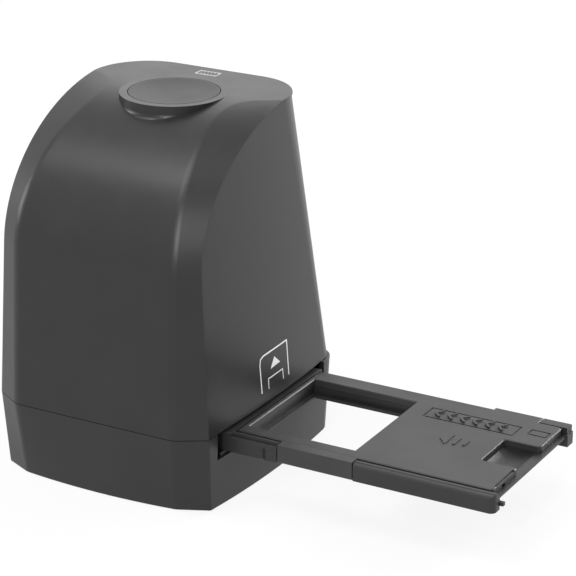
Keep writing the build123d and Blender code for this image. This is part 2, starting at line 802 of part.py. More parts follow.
with BuildPart() as tray_frame:
    with BuildSketch(Plane.XY.offset(tray_bottom_z)) as blank:
        with Locations(((tray_left_x + tray_right_x) / 2, 0)):
            Rectangle(tray_right_x - tray_left_x, 2 * tray_half_width)
        far_corner = blank.vertices().sort_by(Axis.Y)[-2:].sort_by(Axis.X)[-1]
        other_corners = [corner for corner in blank.vertices() if corner != far_corner]
        fillet(other_corners, tray_corner_radius)
        fillet(blank.vertices().group_by(Axis.X)[-1].sort_by(Axis.Y)[-1], tray_far_corner_radius)
    extrude(amount=tray_thickness)
    with BuildSketch(Plane.XY.offset(frame_rail_z)):
        with Locations((tray_step_x, (cover_front_y + cover_back_y) / 2)):
            Rectangle(
                2 * tray_right_x,
                cover_back_y - cover_front_y + 2 * fit_gap,
                align=(Align.MIN, Align.CENTER),
            )
        with Locations((end_strip_right_x, tray_half_width)):
            Rectangle(far_rail_setback + tray_thickness, 2 * far_rail, align=(Align.MIN, Align.CENTER))
    extrude(amount=tray_thickness, mode=Mode.SUBTRACT)
    with BuildSketch(Plane.XY.offset(frame_rail_z)):
        with Locations(((tab_left_x + tab_right_x) / 2, tray_half_width - far_rail / 2)):
            Rectangle(tab_right_x - tab_left_x, far_rail + 2 * fit_gap)
    extrude(amount=tray_thickness, mode=Mode.SUBTRACT)
    with BuildSketch(Plane.XY.offset(tray_top_z - far_rail_drop)):
        with Locations(((tray_step_x + tab_left_x) / 2, tray_half_width - far_rail / 2)):
            Rectangle(tab_left_x - tray_step_x, far_rail + 2 * fit_gap)
        with Locations(((tray_step_x + knuckle_left_x) / 2, -tray_half_width)):
            Rectangle(knuckle_left_x - tray_step_x, edge_rail / 2)
    extrude(amount=tray_thickness, mode=Mode.SUBTRACT)
    with BuildSketch(Plane.XY.offset(tray_top_z - far_rail_drop - far_groove_depth)):
        with Locations(((tray_step_x + tab_left_x) / 2, tray_half_width - far_rail)):
            Rectangle(tab_left_x - tray_step_x, 2 * far_groove_width)
    extrude(amount=far_groove_depth, mode=Mode.SUBTRACT)
    with BuildSketch(Plane.XY.offset(tray_bottom_z)):
        with Locations(((knuckle_left_x + knuckle_right_x) / 2, -tray_half_width)):
            Rectangle(knuckle_right_x - knuckle_left_x, 2 * (hinge_radius + knuckle_swing))
    extrude(amount=tray_thickness, mode=Mode.SUBTRACT)
    for well_x in (0, window_1_x):
        with BuildSketch(Plane.XY.offset(tray_floor_z)):
            with Locations((well_x, 0)):
                Rectangle(mount_size, mount_size)
        extrude(amount=tray_thickness, mode=Mode.SUBTRACT)
        with BuildSketch(Plane.XY.offset(tray_bottom_z)):
            with Locations((well_x, 0)):
                Rectangle(window_size, window_size)
        extrude(amount=tray_floor, mode=Mode.SUBTRACT)
        with BuildSketch(Plane.XY.offset(tray_bottom_z)):
            with Locations((well_x, 0)):
                Rectangle(mount_size - 2 * ledge_margin, mount_size - 2 * ledge_margin)
        extrude(amount=tray_floor - ledge_thickness, mode=Mode.SUBTRACT)
    for rail_left_x, rail_right_x in ((tray_step_x, knuckle_left_x), (knuckle_right_x, tray_right_x)):
        with BuildSketch(Plane.YZ.offset(rail_left_x)):
            with Locations((hinge_y, hinge_z + hinge_radius)):
                Rectangle(edge_rail, edge_rail)
            with Locations((hinge_y, hinge_z)):
                Circle(hinge_radius, mode=Mode.SUBTRACT)
                Rectangle(
                    edge_rail + fit_gap,
                    hinge_radius,
                    align=(Align.CENTER, Align.MAX),
                    mode=Mode.SUBTRACT,
                )
        extrude(amount=rail_right_x - rail_left_x, mode=Mode.SUBTRACT)
    with BuildSketch(Plane.YZ.offset(hinge_pin_left_x)):
        with Locations((hinge_y, hinge_z)):
            Circle(pin_radius + pin_fit)
    extrude(amount=hinge_pin_right_x - hinge_pin_left_x, mode=Mode.SUBTRACT)
    with BuildSketch(Plane.XZ.offset(-scoop_front_y)):
        with BuildLine():
            Line((scoop_left_x, frame_rail_z), (scoop_left_x + scoop_run, frame_rail_z))
            ThreePointArc(
                (scoop_left_x, frame_rail_z),
                (scoop_left_x + scoop_run / 2, frame_rail_z - scoop_depth),
                (scoop_left_x + scoop_run, frame_rail_z),
            )
        make_face()
    extrude(amount=scoop_front_y - scoop_back_y, mode=Mode.SUBTRACT)
    with BuildSketch(Plane.XY.offset(tray_bottom_z)):
        with Locations((end_pocket_left_x, (nib_front_y + end_strip_back_y) / 2)):
            Rectangle(
                tray_right_x - end_pocket_left_x + fit_gap,
                end_strip_back_y - nib_front_y,
                align=(Align.MIN, Align.CENTER),
            )
    extrude(amount=frame_rail_z - end_strip_thickness - tray_bottom_z, mode=Mode.SUBTRACT)
    with BuildSketch(Plane.XY.offset(tray_bottom_z)):
        with Locations((end_strip_right_x, (nib_front_y + end_strip_back_y) / 2)):
            Rectangle(
                tray_right_x - end_strip_right_x + fit_gap,
                end_strip_back_y - nib_front_y,
                align=(Align.MIN, Align.CENTER),
            )
    extrude(amount=tray_thickness, mode=Mode.SUBTRACT)
    with BuildSketch(Plane.XY.offset(nib_bottom_z)):
        with Locations((nib_right_x, nib_back_y)):
            Rectangle(
                nib_right_x - end_pocket_left_x + fit_gap,
                nib_back_y - nib_front_y,
                align=(Align.MAX, Align.MAX),
            )
    extrude(amount=nib_top_z - nib_bottom_z)
    far_top_edges = tray_frame.edges().filter_by(
        lambda edge: abs((edge @ 0.5).Z - tray_top_z) < end_strip_thickness
        and (edge @ 0.5).Y > tray_half_width - rail_edge
        and (edge @ 0.5).X > tray_step_x
        and edge.length > tray_thickness
    )
    fillet(far_top_edges, rail_edge)
    with BuildSketch(Plane.XY.offset(tray_bottom_z)):
        for notch_x in (detent_x, window_1_x + detent_x):
            for end in (1, -1):
                with BuildLine():
                    Polyline(
                        (notch_x - detent_notch_half, end * tray_half_width),
                        (notch_x, end * (tray_half_width - detent_notch_depth)),
                        (notch_x + detent_notch_half, end * tray_half_width),
                        close=True,
                    )
                make_face()
    extrude(amount=frame_rail_z - tray_bottom_z - cover_seat_gap, mode=Mode.SUBTRACT)
save(tray_frame.part, "tray_frame")

with BuildPart() as tray_cover:
    with BuildSketch(Plane.XY.offset(cover_bottom_z)) as leaf:
        with Locations(((cover_left_x + cover_right_x) / 2, (cover_front_y + cover_back_y) / 2)):
            Rectangle(cover_right_x - cover_left_x, cover_back_y - cover_front_y)
        tab_inset = knuckle_gap / 2 + fit_gap / 3
        tab_middle_y = (cover_back_y + tray_half_width) / 2 - fit_gap / 3
        with Locations(((tab_left_x + tab_right_x) / 2, tab_middle_y)):
            Rectangle(tab_right_x - tab_left_x - 2 * tab_inset, tray_half_width - cover_back_y)
        with Locations(((cover_well_left_x + cover_well_right_x) / 2, 0)):
            Rectangle(cover_well_right_x - cover_well_left_x, mount_size, mode=Mode.SUBTRACT)
        scoop_length = cover_right_x - scoop_left_x
        with Locations((scoop_left_x + scoop_length, (scoop_front_y + scoop_back_y) / 2)):
            RectangleRounded(
                2 * scoop_length, scoop_back_y - scoop_front_y, scoop_corner, mode=Mode.SUBTRACT
            )
        fillet(leaf.vertices().group_by(Axis.X)[-1], leaf_corner)
    extrude(amount=cover_thickness)
    chamfer(tray_cover.edges().group_by(Axis.Z)[-1], leaf_edge)
    with BuildSketch(Plane.XY.offset(cover_bottom_z)):
        with Locations((cover_right_x, latch_notch_y)):
            Rectangle(2 * latch_notch_depth, latch_notch_width)
    extrude(amount=latch_notch_height, mode=Mode.SUBTRACT)
    with BuildSketch(Plane.XY.offset(tray_top_z)):
        with Locations(((label_left_x + label_right_x) / 2, (label_front_y + label_back_y) / 2)):
            label_length = label_right_x - label_left_x
            label_width = label_back_y - label_front_y
            Rectangle(label_length, label_width)
            Rectangle(
                label_length - 2 * engraving_width,
                label_width - 2 * engraving_width,
                mode=Mode.SUBTRACT,
            )
        with Locations(((stamp_left_x + stamp_right_x) / 2, (stamp_front_y + stamp_back_y) / 2)):
            stamp_length = stamp_right_x - stamp_left_x
            stamp_width = stamp_back_y - stamp_front_y
            Rectangle(stamp_length, stamp_width)
            Rectangle(
                stamp_length - 2 * engraving_width,
                stamp_width - 2 * engraving_width,
                mode=Mode.SUBTRACT,
            )
    extrude(amount=-engraving_depth, mode=Mode.SUBTRACT)
    with BuildSketch(Plane.XY.offset(tray_top_z)):
        with BuildLine():
            Polyline(
                (arrow_tip_x, arrow_y),
                (arrow_back_x, arrow_y + arrow_half_width),
                (arrow_back_x, arrow_y - arrow_half_width),
                close=True,
            )
        make_face()
        with Locations((arrow_first_bar_x, arrow_y)):
            Rectangle(arrow_bar_width, arrow_first_bar_length)
        with Locations((arrow_second_bar_x, arrow_y)):
            Rectangle(arrow_bar_width, arrow_second_bar_length)
    extrude(amount=raised_height)
    with BuildSketch(Plane.XY.offset(tray_top_z - leaf_step_depth)):
        with Locations((cover_right_x, (leaf_step_front_y + leaf_step_back_y) / 2)):
            Rectangle(2 * leaf_step_width, leaf_step_back_y - leaf_step_front_y)
    extrude(amount=leaf_step_depth, mode=Mode.SUBTRACT)
    with BuildSketch(Plane.YZ.offset(knuckle_left_x + knuckle_gap / 2)) as knuckle:
        with Locations(((cover_front_y - tray_half_width) / 2, (tray_bottom_z + tray_top_z) / 2)):
            Rectangle(cover_front_y + tray_half_width, tray_thickness)
        fillet(knuckle.vertices().group_by(Axis.Y)[0], knuckle_corner)
    extrude(amount=knuckle_right_x - knuckle_left_x - knuckle_gap)
    with BuildSketch(Plane.YZ.offset(knuckle_left_x)):
        with Locations((hinge_y, hinge_z)):
            Circle(pin_radius + pin_fit)
    extrude(amount=knuckle_right_x - knuckle_left_x, mode=Mode.SUBTRACT)
save(tray_cover.part, "tray_cover")

with BuildPart() as tray_hinge_pin:
    with BuildSketch(Plane.YZ.offset(hinge_pin_left_x + pin_fit)):
        with Locations((hinge_y, hinge_z)):
            Circle(pin_radius)
    extrude(amount=hinge_pin_right_x - hinge_pin_left_x - 2 * pin_fit)
save(tray_hinge_pin.part, "tray_hinge_pin")

# ---- film gate and optics tower ----


def gate_outline(z):
    """Rectangle with an ear over each post."""
    with BuildSketch(Plane.XY.offset(z)) as outline:
        Rectangle(2 * gate_half_length, 2 * gate_half_width)
        with Locations(*corner_spots(post_x, (gate_half_width + post_y) / 2)):
            Rectangle(2 * post_radius, post_y - gate_half_width + post_radius / 2)
        with Locations(*corner_spots(post_x, post_y)):
            Circle(post_radius)
            Circle(small_screw_radius + screw_clearance, mode=Mode.SUBTRACT)
    return outline.sketch


with BuildPart() as film_gate:
    add(gate_outline(gate_z))
    extrude(amount=gate_thickness)
    with BuildSketch(Plane.XY.offset(gate_z)):
        Rectangle(gate_window_length, gate_window_width)
    extrude(amount=gate_thickness, mode=Mode.SUBTRACT)
save(film_gate.part, "film_gate")

with BuildPart() as optics_tower:
    add(gate_outline(gate_top_z))
    extrude(amount=tower_flange)
    with BuildSketch(Plane.XY.offset(gate_top_z)):
        Rectangle(2 * tower_half_length, 2 * tower_half_width)
    extrude(amount=tower_top_z - gate_top_z)
    with BuildSketch(Plane.XY.offset(gate_top_z)):
        Rectangle(2 * (tower_half_length - tower_wall), 2 * (tower_half_width - tower_wall))
    extrude(amount=tower_top_z - tower_wall - gate_top_z, mode=Mode.SUBTRACT)
    with BuildSketch(Plane.XY.offset(tower_top_z)):
        Circle(tower_lens_hole)
        with Locations(*corner_spots(holder_screw_offset, holder_screw_offset)):
            Circle(fine_screw_radius + thread_clearance)
    extrude(amount=-2 * tower_wall, mode=Mode.SUBTRACT)
    with BuildSketch(Plane.XZ.offset(-main_board_y)):
        for height in (standoff_low_z, standoff_high_z):
            with Locations((standoff_x, height), (-standoff_x, height)):
                Circle(standoff_radius)
    extrude(amount=main_board_y - tower_half_width)
    with BuildSketch(Plane.XZ.offset(-main_board_y)):
        for height in (standoff_low_z, standoff_high_z):
            with Locations((standoff_x, height), (-standoff_x, height)):
                Circle(small_screw_radius + thread_clearance)
    extrude(amount=main_board_y - tower_half_width, mode=Mode.SUBTRACT)
save(optics_tower.part, "optics_tower")

with BuildPart() as tower_screws:
    with BuildSketch(Plane.XY.offset(flange_top_z)):
        with Locations(*corner_spots(post_x, post_y)):
            Circle(small_screw_head_radius)
    extrude(amount=small_screw_head_height)
    with BuildSketch(Plane.XY.offset(flange_top_z)):
        with Locations(*corner_spots(post_x, post_y)):
            Circle(small_screw_radius)
    extrude(amount=gate_z - tower_screw_reach + fit_gap - flange_top_z)
save(tower_screws.part, "tower_screws")

# ---- backlight ----
backlight_board_z = plate_top_z + light_box_floor
diffuser_z = light_box_top_z - diffuser_thickness

with BuildPart() as light_box:
    with BuildSketch(Plane.XY.offset(plate_top_z)):
        Rectangle(2 * light_box_half_length, 2 * light_box_half_width)
    extrude(amount=light_box_top_z - plate_top_z)
    with BuildSketch(Plane.XY.offset(backlight_board_z)):
        Rectangle(
            2 * (light_box_half_length - light_box_wall - diffuser_ledge),
            2 * (light_box_half_width - light_box_wall - diffuser_ledge),
        )
    extrude(amount=light_box_top_z, mode=Mode.SUBTRACT)
    with BuildSketch(Plane.XY.offset(diffuser_z)):
        Rectangle(
            2 * (light_box_half_length - light_box_wall),
            2 * (light_box_half_width - light_box_wall),
        )
    extrude(amount=light_box_top_z, mode=Mode.SUBTRACT)
save(light_box.part, "light_box")

with BuildPart() as diffuser:
    with BuildSketch(Plane.XY.offset(diffuser_z)):
        Rectangle(
            2 * (light_box_half_length - light_box_wall - fit_gap / 2),
            2 * (light_box_half_width - light_box_wall - fit_gap / 2),
        )
    extrude(amount=diffuser_thickness)
save(diffuser.part, "diffuser")

board_inset = light_box_wall + diffuser_ledge + backlight_board_margin
with BuildPart() as backlight_board:
    with BuildSketch(Plane.XY.offset(backlight_board_z)):
        Rectangle(
            2 * (light_box_half_length - board_inset),
            2 * (light_box_half_width - board_inset),
        )
    extrude(amount=board_thickness)
save(backlight_board.part, "backlight_board")

with BuildPart() as backlight_leds:
    with BuildSketch(Plane.XY.offset(backlight_board_z + board_thickness)):
        with GridLocations(led_pitch_x, led_pitch_y, 3, 3):
            Rectangle(led_length, led_width)
    extrude(amount=led_height)
save(backlight_leds.part, "backlight_leds")

# ---- lens and sensor ----
with BuildPart() as lens_holder:
    with BuildSketch(Plane.XY.offset(tower_top_z)):
        Rectangle(2 * holder_flange_half, 2 * holder_flange_half)
        with Locations(*corner_spots(holder_screw_offset, holder_screw_offset)):
            Circle(fine_screw_radius + screw_clearance, mode=Mode.SUBTRACT)
    extrude(amount=holder_flange)
    with BuildSketch(Plane.XY.offset(tower_top_z)):
        Circle(holder_outer_radius)
    extrude(amount=holder_top_z - tower_top_z)
    with BuildSketch(Plane.XY.offset(holder_top_z - holder_head)):
        Rectangle(2 * holder_head_half, 2 * holder_head_half)
        with Locations(*corner_spots(sensor_screw_offset, sensor_screw_offset)):
            Circle(fine_screw_radius + thread_clearance, mode=Mode.SUBTRACT)
    extrude(amount=holder_head)
    with BuildSketch(Plane.XY.offset(tower_top_z)):
        Circle(holder_inner_radius)
    extrude(amount=holder_top_z - tower_top_z, mode=Mode.SUBTRACT)
save(lens_holder.part, "lens_holder")

with BuildPart() as lens_holder_screws:
    with BuildSketch(Plane.XY.offset(tower_top_z + holder_flange)):
        with Locations(*corner_spots(holder_screw_offset, holder_screw_offset)):
            Circle(fine_screw_head_radius)
    extrude(amount=fine_screw_head_height)
    with BuildSketch(Plane.XY.offset(tower_top_z + holder_flange)):
        with Locations(*corner_spots(holder_screw_offset, holder_screw_offset)):
            Circle(fine_screw_radius)
    extrude(amount=-holder_flange - tower_wall)
save(lens_holder_screws.part, "lens_holder_screws")

barrel_radius = holder_inner_radius - lens_fit
with BuildPart() as lens_barrel:
    with BuildSketch(Plane.XY.offset(barrel_bottom_z)):
        Circle(barrel_radius)
    extrude(amount=barrel_top_z - barrel_bottom_z)
    with BuildSketch(Plane.XY.offset(barrel_bottom_z)):
        Circle(barrel_bore_radius - barrel_lip)
    extrude(amount=barrel_top_z - barrel_bottom_z, mode=Mode.SUBTRACT)
    with BuildSketch(Plane.XY.offset(barrel_bottom_z + barrel_lip)):
        Circle(barrel_bore_radius)
    extrude(amount=barrel_top_z - barrel_bottom_z, mode=Mode.SUBTRACT)
save(lens_barrel.part, "lens_barrel")

lens_radius = barrel_bore_radius - lens_fit
lens_sphere = (lens_radius**2 + lens_crown**2) / (2 * lens_crown)
for name, seat_z in (("front_lens", barrel_bottom_z + barrel_lip), ("rear_lens", rear_lens_z)):
    with BuildPart() as lens:
        with BuildSketch(Plane.XY.offset(seat_z)):
            Circle(lens_radius)
        extrude(amount=lens_edge + lens_crown)
        with Locations((0, 0, seat_z + lens_edge + lens_crown - lens_sphere)):
            Sphere(lens_sphere, mode=Mode.INTERSECT)
    save(lens.part, name)

with BuildPart() as ir_filter:
    with BuildSketch(Plane.XY.offset(filter_z)):
        Circle(holder_inner_radius - lens_fit)
    extrude(amount=filter_thickness)
save(ir_filter.part, "ir_filter")

with BuildPart() as image_sensor:
    with BuildSketch(Plane.XY.offset(holder_top_z)):
        Rectangle(2 * sensor_half, 2 * sensor_half)
    extrude(amount=-sensor_height)
save(image_sensor.part, "image_sensor")

with BuildPart() as sensor_board:
    with BuildSketch(Plane.XY.offset(holder_top_z)):
        Rectangle(2 * sensor_board_half, 2 * sensor_board_half)
        with Locations(*corner_spots(sensor_screw_offset, sensor_screw_offset)):
            Circle(fine_screw_radius + screw_clearance, mode=Mode.SUBTRACT)
    extrude(amount=board_thickness)
save(sensor_board.part, "sensor_board")

with BuildPart() as sensor_board_screws:
    with BuildSketch(Plane.XY.offset(sensor_board_top_z)):
        with Locations(*corner_spots(sensor_screw_offset, sensor_screw_offset)):
            Circle(fine_screw_head_radius)
    extrude(amount=fine_screw_head_height)
    with BuildSketch(Plane.XY.offset(sensor_board_top_z)):
        with Locations(*corner_spots(sensor_screw_offset, sensor_screw_offset)):
            Circle(fine_screw_radius)
    extrude(amount=-board_thickness - holder_head)
save(sensor_board_screws.part, "sensor_board_screws")

# ---- main board ----
board_z = (main_board_bottom_z + main_board_top_z) / 2
with BuildPart() as main_board:
    with BuildSketch(Plane.XZ.offset(-main_board_y)):
        with Locations((0, board_z)):
            Rectangle(2 * main_board_half_length, main_board_top_z - main_board_bottom_z)
        for height in (standoff_low_z, standoff_high_z):
            with Locations((standoff_x, height), (-standoff_x, height)):
                Circle(small_screw_radius + screw_clearance, mode=Mode.SUBTRACT)
    extrude(amount=-board_thickness)
save(main_board.part, "main_board")

with BuildPart() as main_board_screws:
    with BuildSketch(Plane.XZ.offset(-main_board_back_y)):
        for height in (standoff_low_z, standoff_high_z):
            with Locations((standoff_x, height), (-standoff_x, height)):
                Circle(small_screw_head_radius)
    extrude(amount=-small_screw_head_height)
    with BuildSketch(Plane.XZ.offset(-main_board_back_y)):
        for height in (standoff_low_z, standoff_high_z):
            with Locations((standoff_x, height), (-standoff_x, height)):
                Circle(small_screw_radius)
    extrude(amount=main_board_back_y - tower_half_width - fit_gap)
save(main_board_screws.part, "main_board_screws")

with BuildPart() as main_board_chips:
    with BuildSketch(Plane.XZ.offset(-main_board_back_y)):
        with Locations((-chip_x, processor_z)):
            Rectangle(processor_size, processor_size)
        with Locations((-chip_x, memory_z), (chip_x, memory_z)):
            Rectangle(memory_length, memory_width)
    extrude(amount=-chip_thickness)
save(main_board_chips.part, "main_board_chips")

socket_inner_width = socket_width - 2 * socket_wall
socket_inner_height = socket_height - 2 * socket_wall
with BuildPart() as usb_shell:
    with BuildSketch(Plane.XZ.offset(-main_board_back_y)):
        with Locations((socket_x, socket_z)):
            Rectangle(socket_width, socket_height)
            Rectangle(socket_inner_width, socket_inner_height, mode=Mode.SUBTRACT)
    extrude(amount=-socket_length)
save(usb_shell.part, "usb_shell")

with BuildPart() as usb_insulator:
    with BuildSketch(Plane.XZ.offset(-main_board_back_y)):
        with Locations((socket_x, socket_z)):
            Rectangle(socket_inner_width, socket_inner_height)
    extrude(amount=-socket_base_length)
    with BuildSketch(Plane.XZ.offset(-main_board_back_y)):
        with Locations((socket_x, socket_z)):
            Rectangle(socket_tongue_width, socket_tongue_height)
    extrude(amount=-socket_length + socket_tongue_inset)
save(usb_insulator.part, "usb_insulator")

# ---- ribbon cables and their connectors ----
sensor_ribbon_z = sensor_board_top_z + connector_wall
button_ribbon_y = button_y + button_board_half_width
button_ribbon_z = button_board_z - connector_wall
backlight_ribbon_y = guide_outer_y + backlight_ribbon_gap


def ribbon(route, radius, width, x):
    """A flat cable of the given width along a route in the plane at x, with rounded turns."""
    with BuildPart() as cable:
        with BuildLine(Plane.YZ.offset(x)) as path:
            FilletPolyline(*route, radius=radius)
        start = path.line @ 0
        with BuildSketch(Plane(origin=start, x_dir=(1, 0, 0), z_dir=path.line % 0)):
            Rectangle(width, ribbon_thickness)
        sweep(path=path.line)
    return cable.part


sensor_route = (
    (sensor_board_half, sensor_ribbon_z),
    (connector_gap_y, sensor_ribbon_z),
    (connector_gap_y, board_connector_top_z),
)
save(ribbon(sensor_route, ribbon_radius, sensor_ribbon_width, 0), "sensor_cable")

button_route = (
    (button_ribbon_y, button_ribbon_z),
    (connector_gap_y, button_ribbon_z),
    (connector_gap_y, board_connector_top_z),
)
save(ribbon(button_route, ribbon_radius, button_ribbon_width, button_ribbon_x), "button_cable")

backlight_route = (
    (light_box_half_width, backlight_ribbon_z),
    (backlight_ribbon_y, backlight_ribbon_z),
    (backlight_ribbon_y, backlight_connector_z),
)
save(ribbon(backlight_route, ribbon_radius, backlight_ribbon_width, 0), "backlight_cable")

with BuildPart() as board_connectors:
    for plug_x, plug_width in ((0, sensor_ribbon_width), (button_ribbon_x, button_ribbon_width)):
        with BuildSketch(Plane.XY.offset(board_connector_top_z)):
            with Locations((plug_x, main_board_y - connector_depth / 2)):
                Rectangle(plug_width + 2 * connector_wall, connector_depth)
        extrude(amount=-connector_height)
    with BuildSketch(Plane.XY.offset(backlight_connector_z)):
        rear_depth = backlight_ribbon_y + connector_wall - main_board_back_y
        with Locations((0, main_board_back_y + rear_depth / 2)):
            Rectangle(backlight_ribbon_width + 2 * connector_wall, rear_depth)
    extrude(amount=connector_height)
    with BuildSketch(Plane.XY.offset(sensor_board_top_z)):
        with Locations((0, sensor_board_half - connector_height / 2)):
            Rectangle(sensor_ribbon_width + 2 * connector_wall, connector_height)
    extrude(amount=2 * connector_wall)
    with BuildSketch(Plane.XY.offset(button_board_z)):
        with Locations((button_ribbon_x - 2 * connector_wall, button_ribbon_y - connector_height / 2)):
            Rectangle(button_ribbon_width, connector_height)
    extrude(amount=-2 * connector_wall)
save(board_connectors.part, "board_connectors")
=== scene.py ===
import logging
import math
from dataclasses import dataclass
from enum import Enum
from typing import Callable, ClassVar, Iterable, Optional, Sequence, Union

import bmesh
import bpy
from mathutils import Matrix, Vector
from mathutils.bvhtree import BVHTree


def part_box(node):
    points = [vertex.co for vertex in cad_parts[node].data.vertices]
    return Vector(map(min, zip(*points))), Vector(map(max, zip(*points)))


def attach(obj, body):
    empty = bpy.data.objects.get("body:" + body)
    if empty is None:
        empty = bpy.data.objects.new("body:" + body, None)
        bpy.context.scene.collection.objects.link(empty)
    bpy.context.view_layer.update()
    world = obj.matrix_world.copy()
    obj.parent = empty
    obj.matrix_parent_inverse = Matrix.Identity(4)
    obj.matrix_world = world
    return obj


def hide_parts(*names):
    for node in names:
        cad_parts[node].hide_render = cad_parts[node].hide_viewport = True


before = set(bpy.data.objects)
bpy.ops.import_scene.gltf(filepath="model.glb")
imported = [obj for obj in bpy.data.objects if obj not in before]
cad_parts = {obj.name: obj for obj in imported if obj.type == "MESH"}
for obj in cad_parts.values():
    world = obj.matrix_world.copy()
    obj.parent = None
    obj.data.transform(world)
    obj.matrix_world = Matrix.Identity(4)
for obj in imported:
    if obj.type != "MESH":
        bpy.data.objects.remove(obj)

LOG = logging.getLogger("film_scanner")
MM = 0.001
WHITE = (1.0, 1.0, 1.0)
SMOOTH_BELOW = math.radians(35.0)
STROKE_STEP = 2 * MM
SHARPEST_MITRE = 0.35
INK_FOOT = 0.1
INK_WELD = 0.2
TUBE_UP = Vector((0.13, 0.07, 0.99))

Colour = tuple[float, float, float]
Point2 = tuple[float, float]
Outputs = bpy.types.NodeOutputs
Shape = bmesh.types.BMesh
Socket = bpy.types.NodeSocket
Sockets = dict[str, Socket]
Value = Union[float, int, bool, str, tuple, Socket]


class Body(Enum):
    """The rigid bodies that the scene's own pieces ride on."""

    CHASSIS = "chassis"
    TRAY_COVER = "tray_cover"


class Lay(Enum):
    """The way that a metal's fine lines run, as the stretch of their noise along X, Y and Z."""

    ALONG_X = (0.04, 1.0, 1.0)
    ALONG_Y = (1.0, 0.04, 1.0)
    ROUND_Z = (0.6, 0.6, 1.0)


# ---------------------------------------------------------------- node trees


class Tree:
    """A node tree that is being filled, with short calls for what goes into it."""

    def __init__(self, tree: bpy.types.NodeTree) -> None:
        """Take over an empty tree.

        Args:
            tree: the material's, world's or group's own tree.
        """
        self.tree = tree

    def add(
        self, kind: str, settings: Optional[dict] = None, **sockets: Value
    ) -> bpy.types.Node:
        """Add a node.

        Args:
            kind: the node's type name.
            settings: attributes of the node itself.
            **sockets: input socket names, with _ for a space, and a value or an output socket.

        Returns:
            The new node.
        """
        node = self.tree.nodes.new(kind)
        for name, value in (settings or {}).items():
            setattr(node, name, value)
        for name, value in sockets.items():
            self.feed(node.inputs[name.replace("_", " ")], value)
        return node

    def feed(self, socket: Socket, value: Value) -> None:
        """Set an input socket to a value, or link an output socket to it.

        Args:
            socket: the input to fill.
            value: a plain value, a colour of three numbers or an output socket.
        """
        if isinstance(value, Socket):
            self.tree.links.new(value, socket)
        elif socket.type == "RGBA":
            socket.default_value = (*value[:3], 1.0)
        else:
            socket.default_value = value

    def maths(
        self, operation: str, first: Value, second: Value = 0.0, clamp: bool = False
    ) -> Socket:
        """Add a Math node.

        Args:
            operation: the operation's name.
            first: the first value or socket.
            second: the second value or socket.
            clamp: whether the result stays between 0 and 1.

        Returns:
            The result's socket.
        """
        node = self.add("ShaderNodeMath", {"operation": operation, "use_clamp": clamp})
        self.feed(node.inputs[0], first)
        self.feed(node.inputs[1], second)
        return node.outputs[0]

    def mix(self, factor: Value, first: Value, second: Value) -> Socket:
        """Mix two colours.

        Args:
            factor: how much of the second colour shows.
            first: the first colour.
            second: the second colour.

        Returns:
            The mixed colour's socket.
        """
        node = self.add("ShaderNodeMix", {"data_type": "RGBA"})
        self.feed(node.inputs[0], factor)
        self.feed(node.inputs[6], first)
        self.feed(node.inputs[7], second)
        return node.outputs[2]

    def spread(
        self, value: Value, low: float, high: float, to_low: Value = 0.0, to_high: Value = 1.0
    ) -> Socket:
        """Map a range of values to another, held at its ends.

        Args:
            value: the value to map.
            low: the start of its range.
            high: the end of its range.
            to_low: what the start becomes.
            to_high: what the end becomes.

        Returns:
            The mapped value's socket.
        """
        node = self.add("ShaderNodeMapRange", {"clamp": True})
        self.feed(node.inputs[0], value)
        self.feed(node.inputs[1], low)
        self.feed(node.inputs[2], high)
        self.feed(node.inputs[3], to_low)
        self.feed(node.inputs[4], to_high)
        return node.outputs[0]

    def noise(self, place: Value, scale: Value, **sockets: Value) -> Socket:
        """Add a Noise texture.

        Args:
            place: where it is read.
            scale: how fine it is.
            **sockets: its other inputs.

        Returns:
            Its value's socket.
        """
        node = self.add("ShaderNodeTexNoise", Vector=place, Scale=scale, **sockets)
        return node.outputs["Fac"]


@dataclass(frozen=True)
class Port:
    """One input of an effect group."""

    name: str
    kind: str
    value: Union[float, Colour]


COLOUR_KIND = "NodeSocketColor"
NUMBER_KIND = "NodeSocketFloat"


class Effect:
    """A surface effect that several materials share, kept as one shader node group."""

    name = "effect"
    ports: tuple[Port, ...] = ()
    results: tuple[tuple[str, str], ...] = ()

    def group(self) -> bpy.types.NodeTree:
        """Build the group once.

        Returns:
            The group's tree.
        """
        found = bpy.data.node_groups.get(self.name)
        if found:
            return found
        group = bpy.data.node_groups.new(self.name, "ShaderNodeTree")
        for port in self.ports:
            socket = group.interface.new_socket(port.name, in_out="INPUT", socket_type=port.kind)
            socket.default_value = (*port.value, 1.0) if port.kind == COLOUR_KIND else port.value
        for name, kind in self.results:
            group.interface.new_socket(name, in_out="OUTPUT", socket_type=kind)
        tree = Tree(group)
        inputs = tree.add("NodeGroupInput").outputs
        results = self.fill(tree, inputs)
        output = tree.add("NodeGroupOutput")
        for name, socket in results.items():
            group.links.new(socket, output.inputs[name])
        return group

    def fill(self, tree: Tree, inputs: Outputs) -> Sockets:
        """Fill the group.

        Args:
            tree: the group's tree.
            inputs: the group's inputs.

        Returns:
            Each result's name and socket.
        """
        raise NotImplementedError

    def place(self, tree: Tree, **values: Value) -> Outputs:
        """Put the group into a material.

        Args:
            tree: the material's tree.
            **values: the material's own values for the group's inputs.

        Returns:
            The group node's outputs.
        """
        node = tree.add("ShaderNodeGroup", {"node_tree": self.group()})
        for name, value in values.items():
            tree.feed(node.inputs[name.replace("_", " ")], value)
        return node.outputs


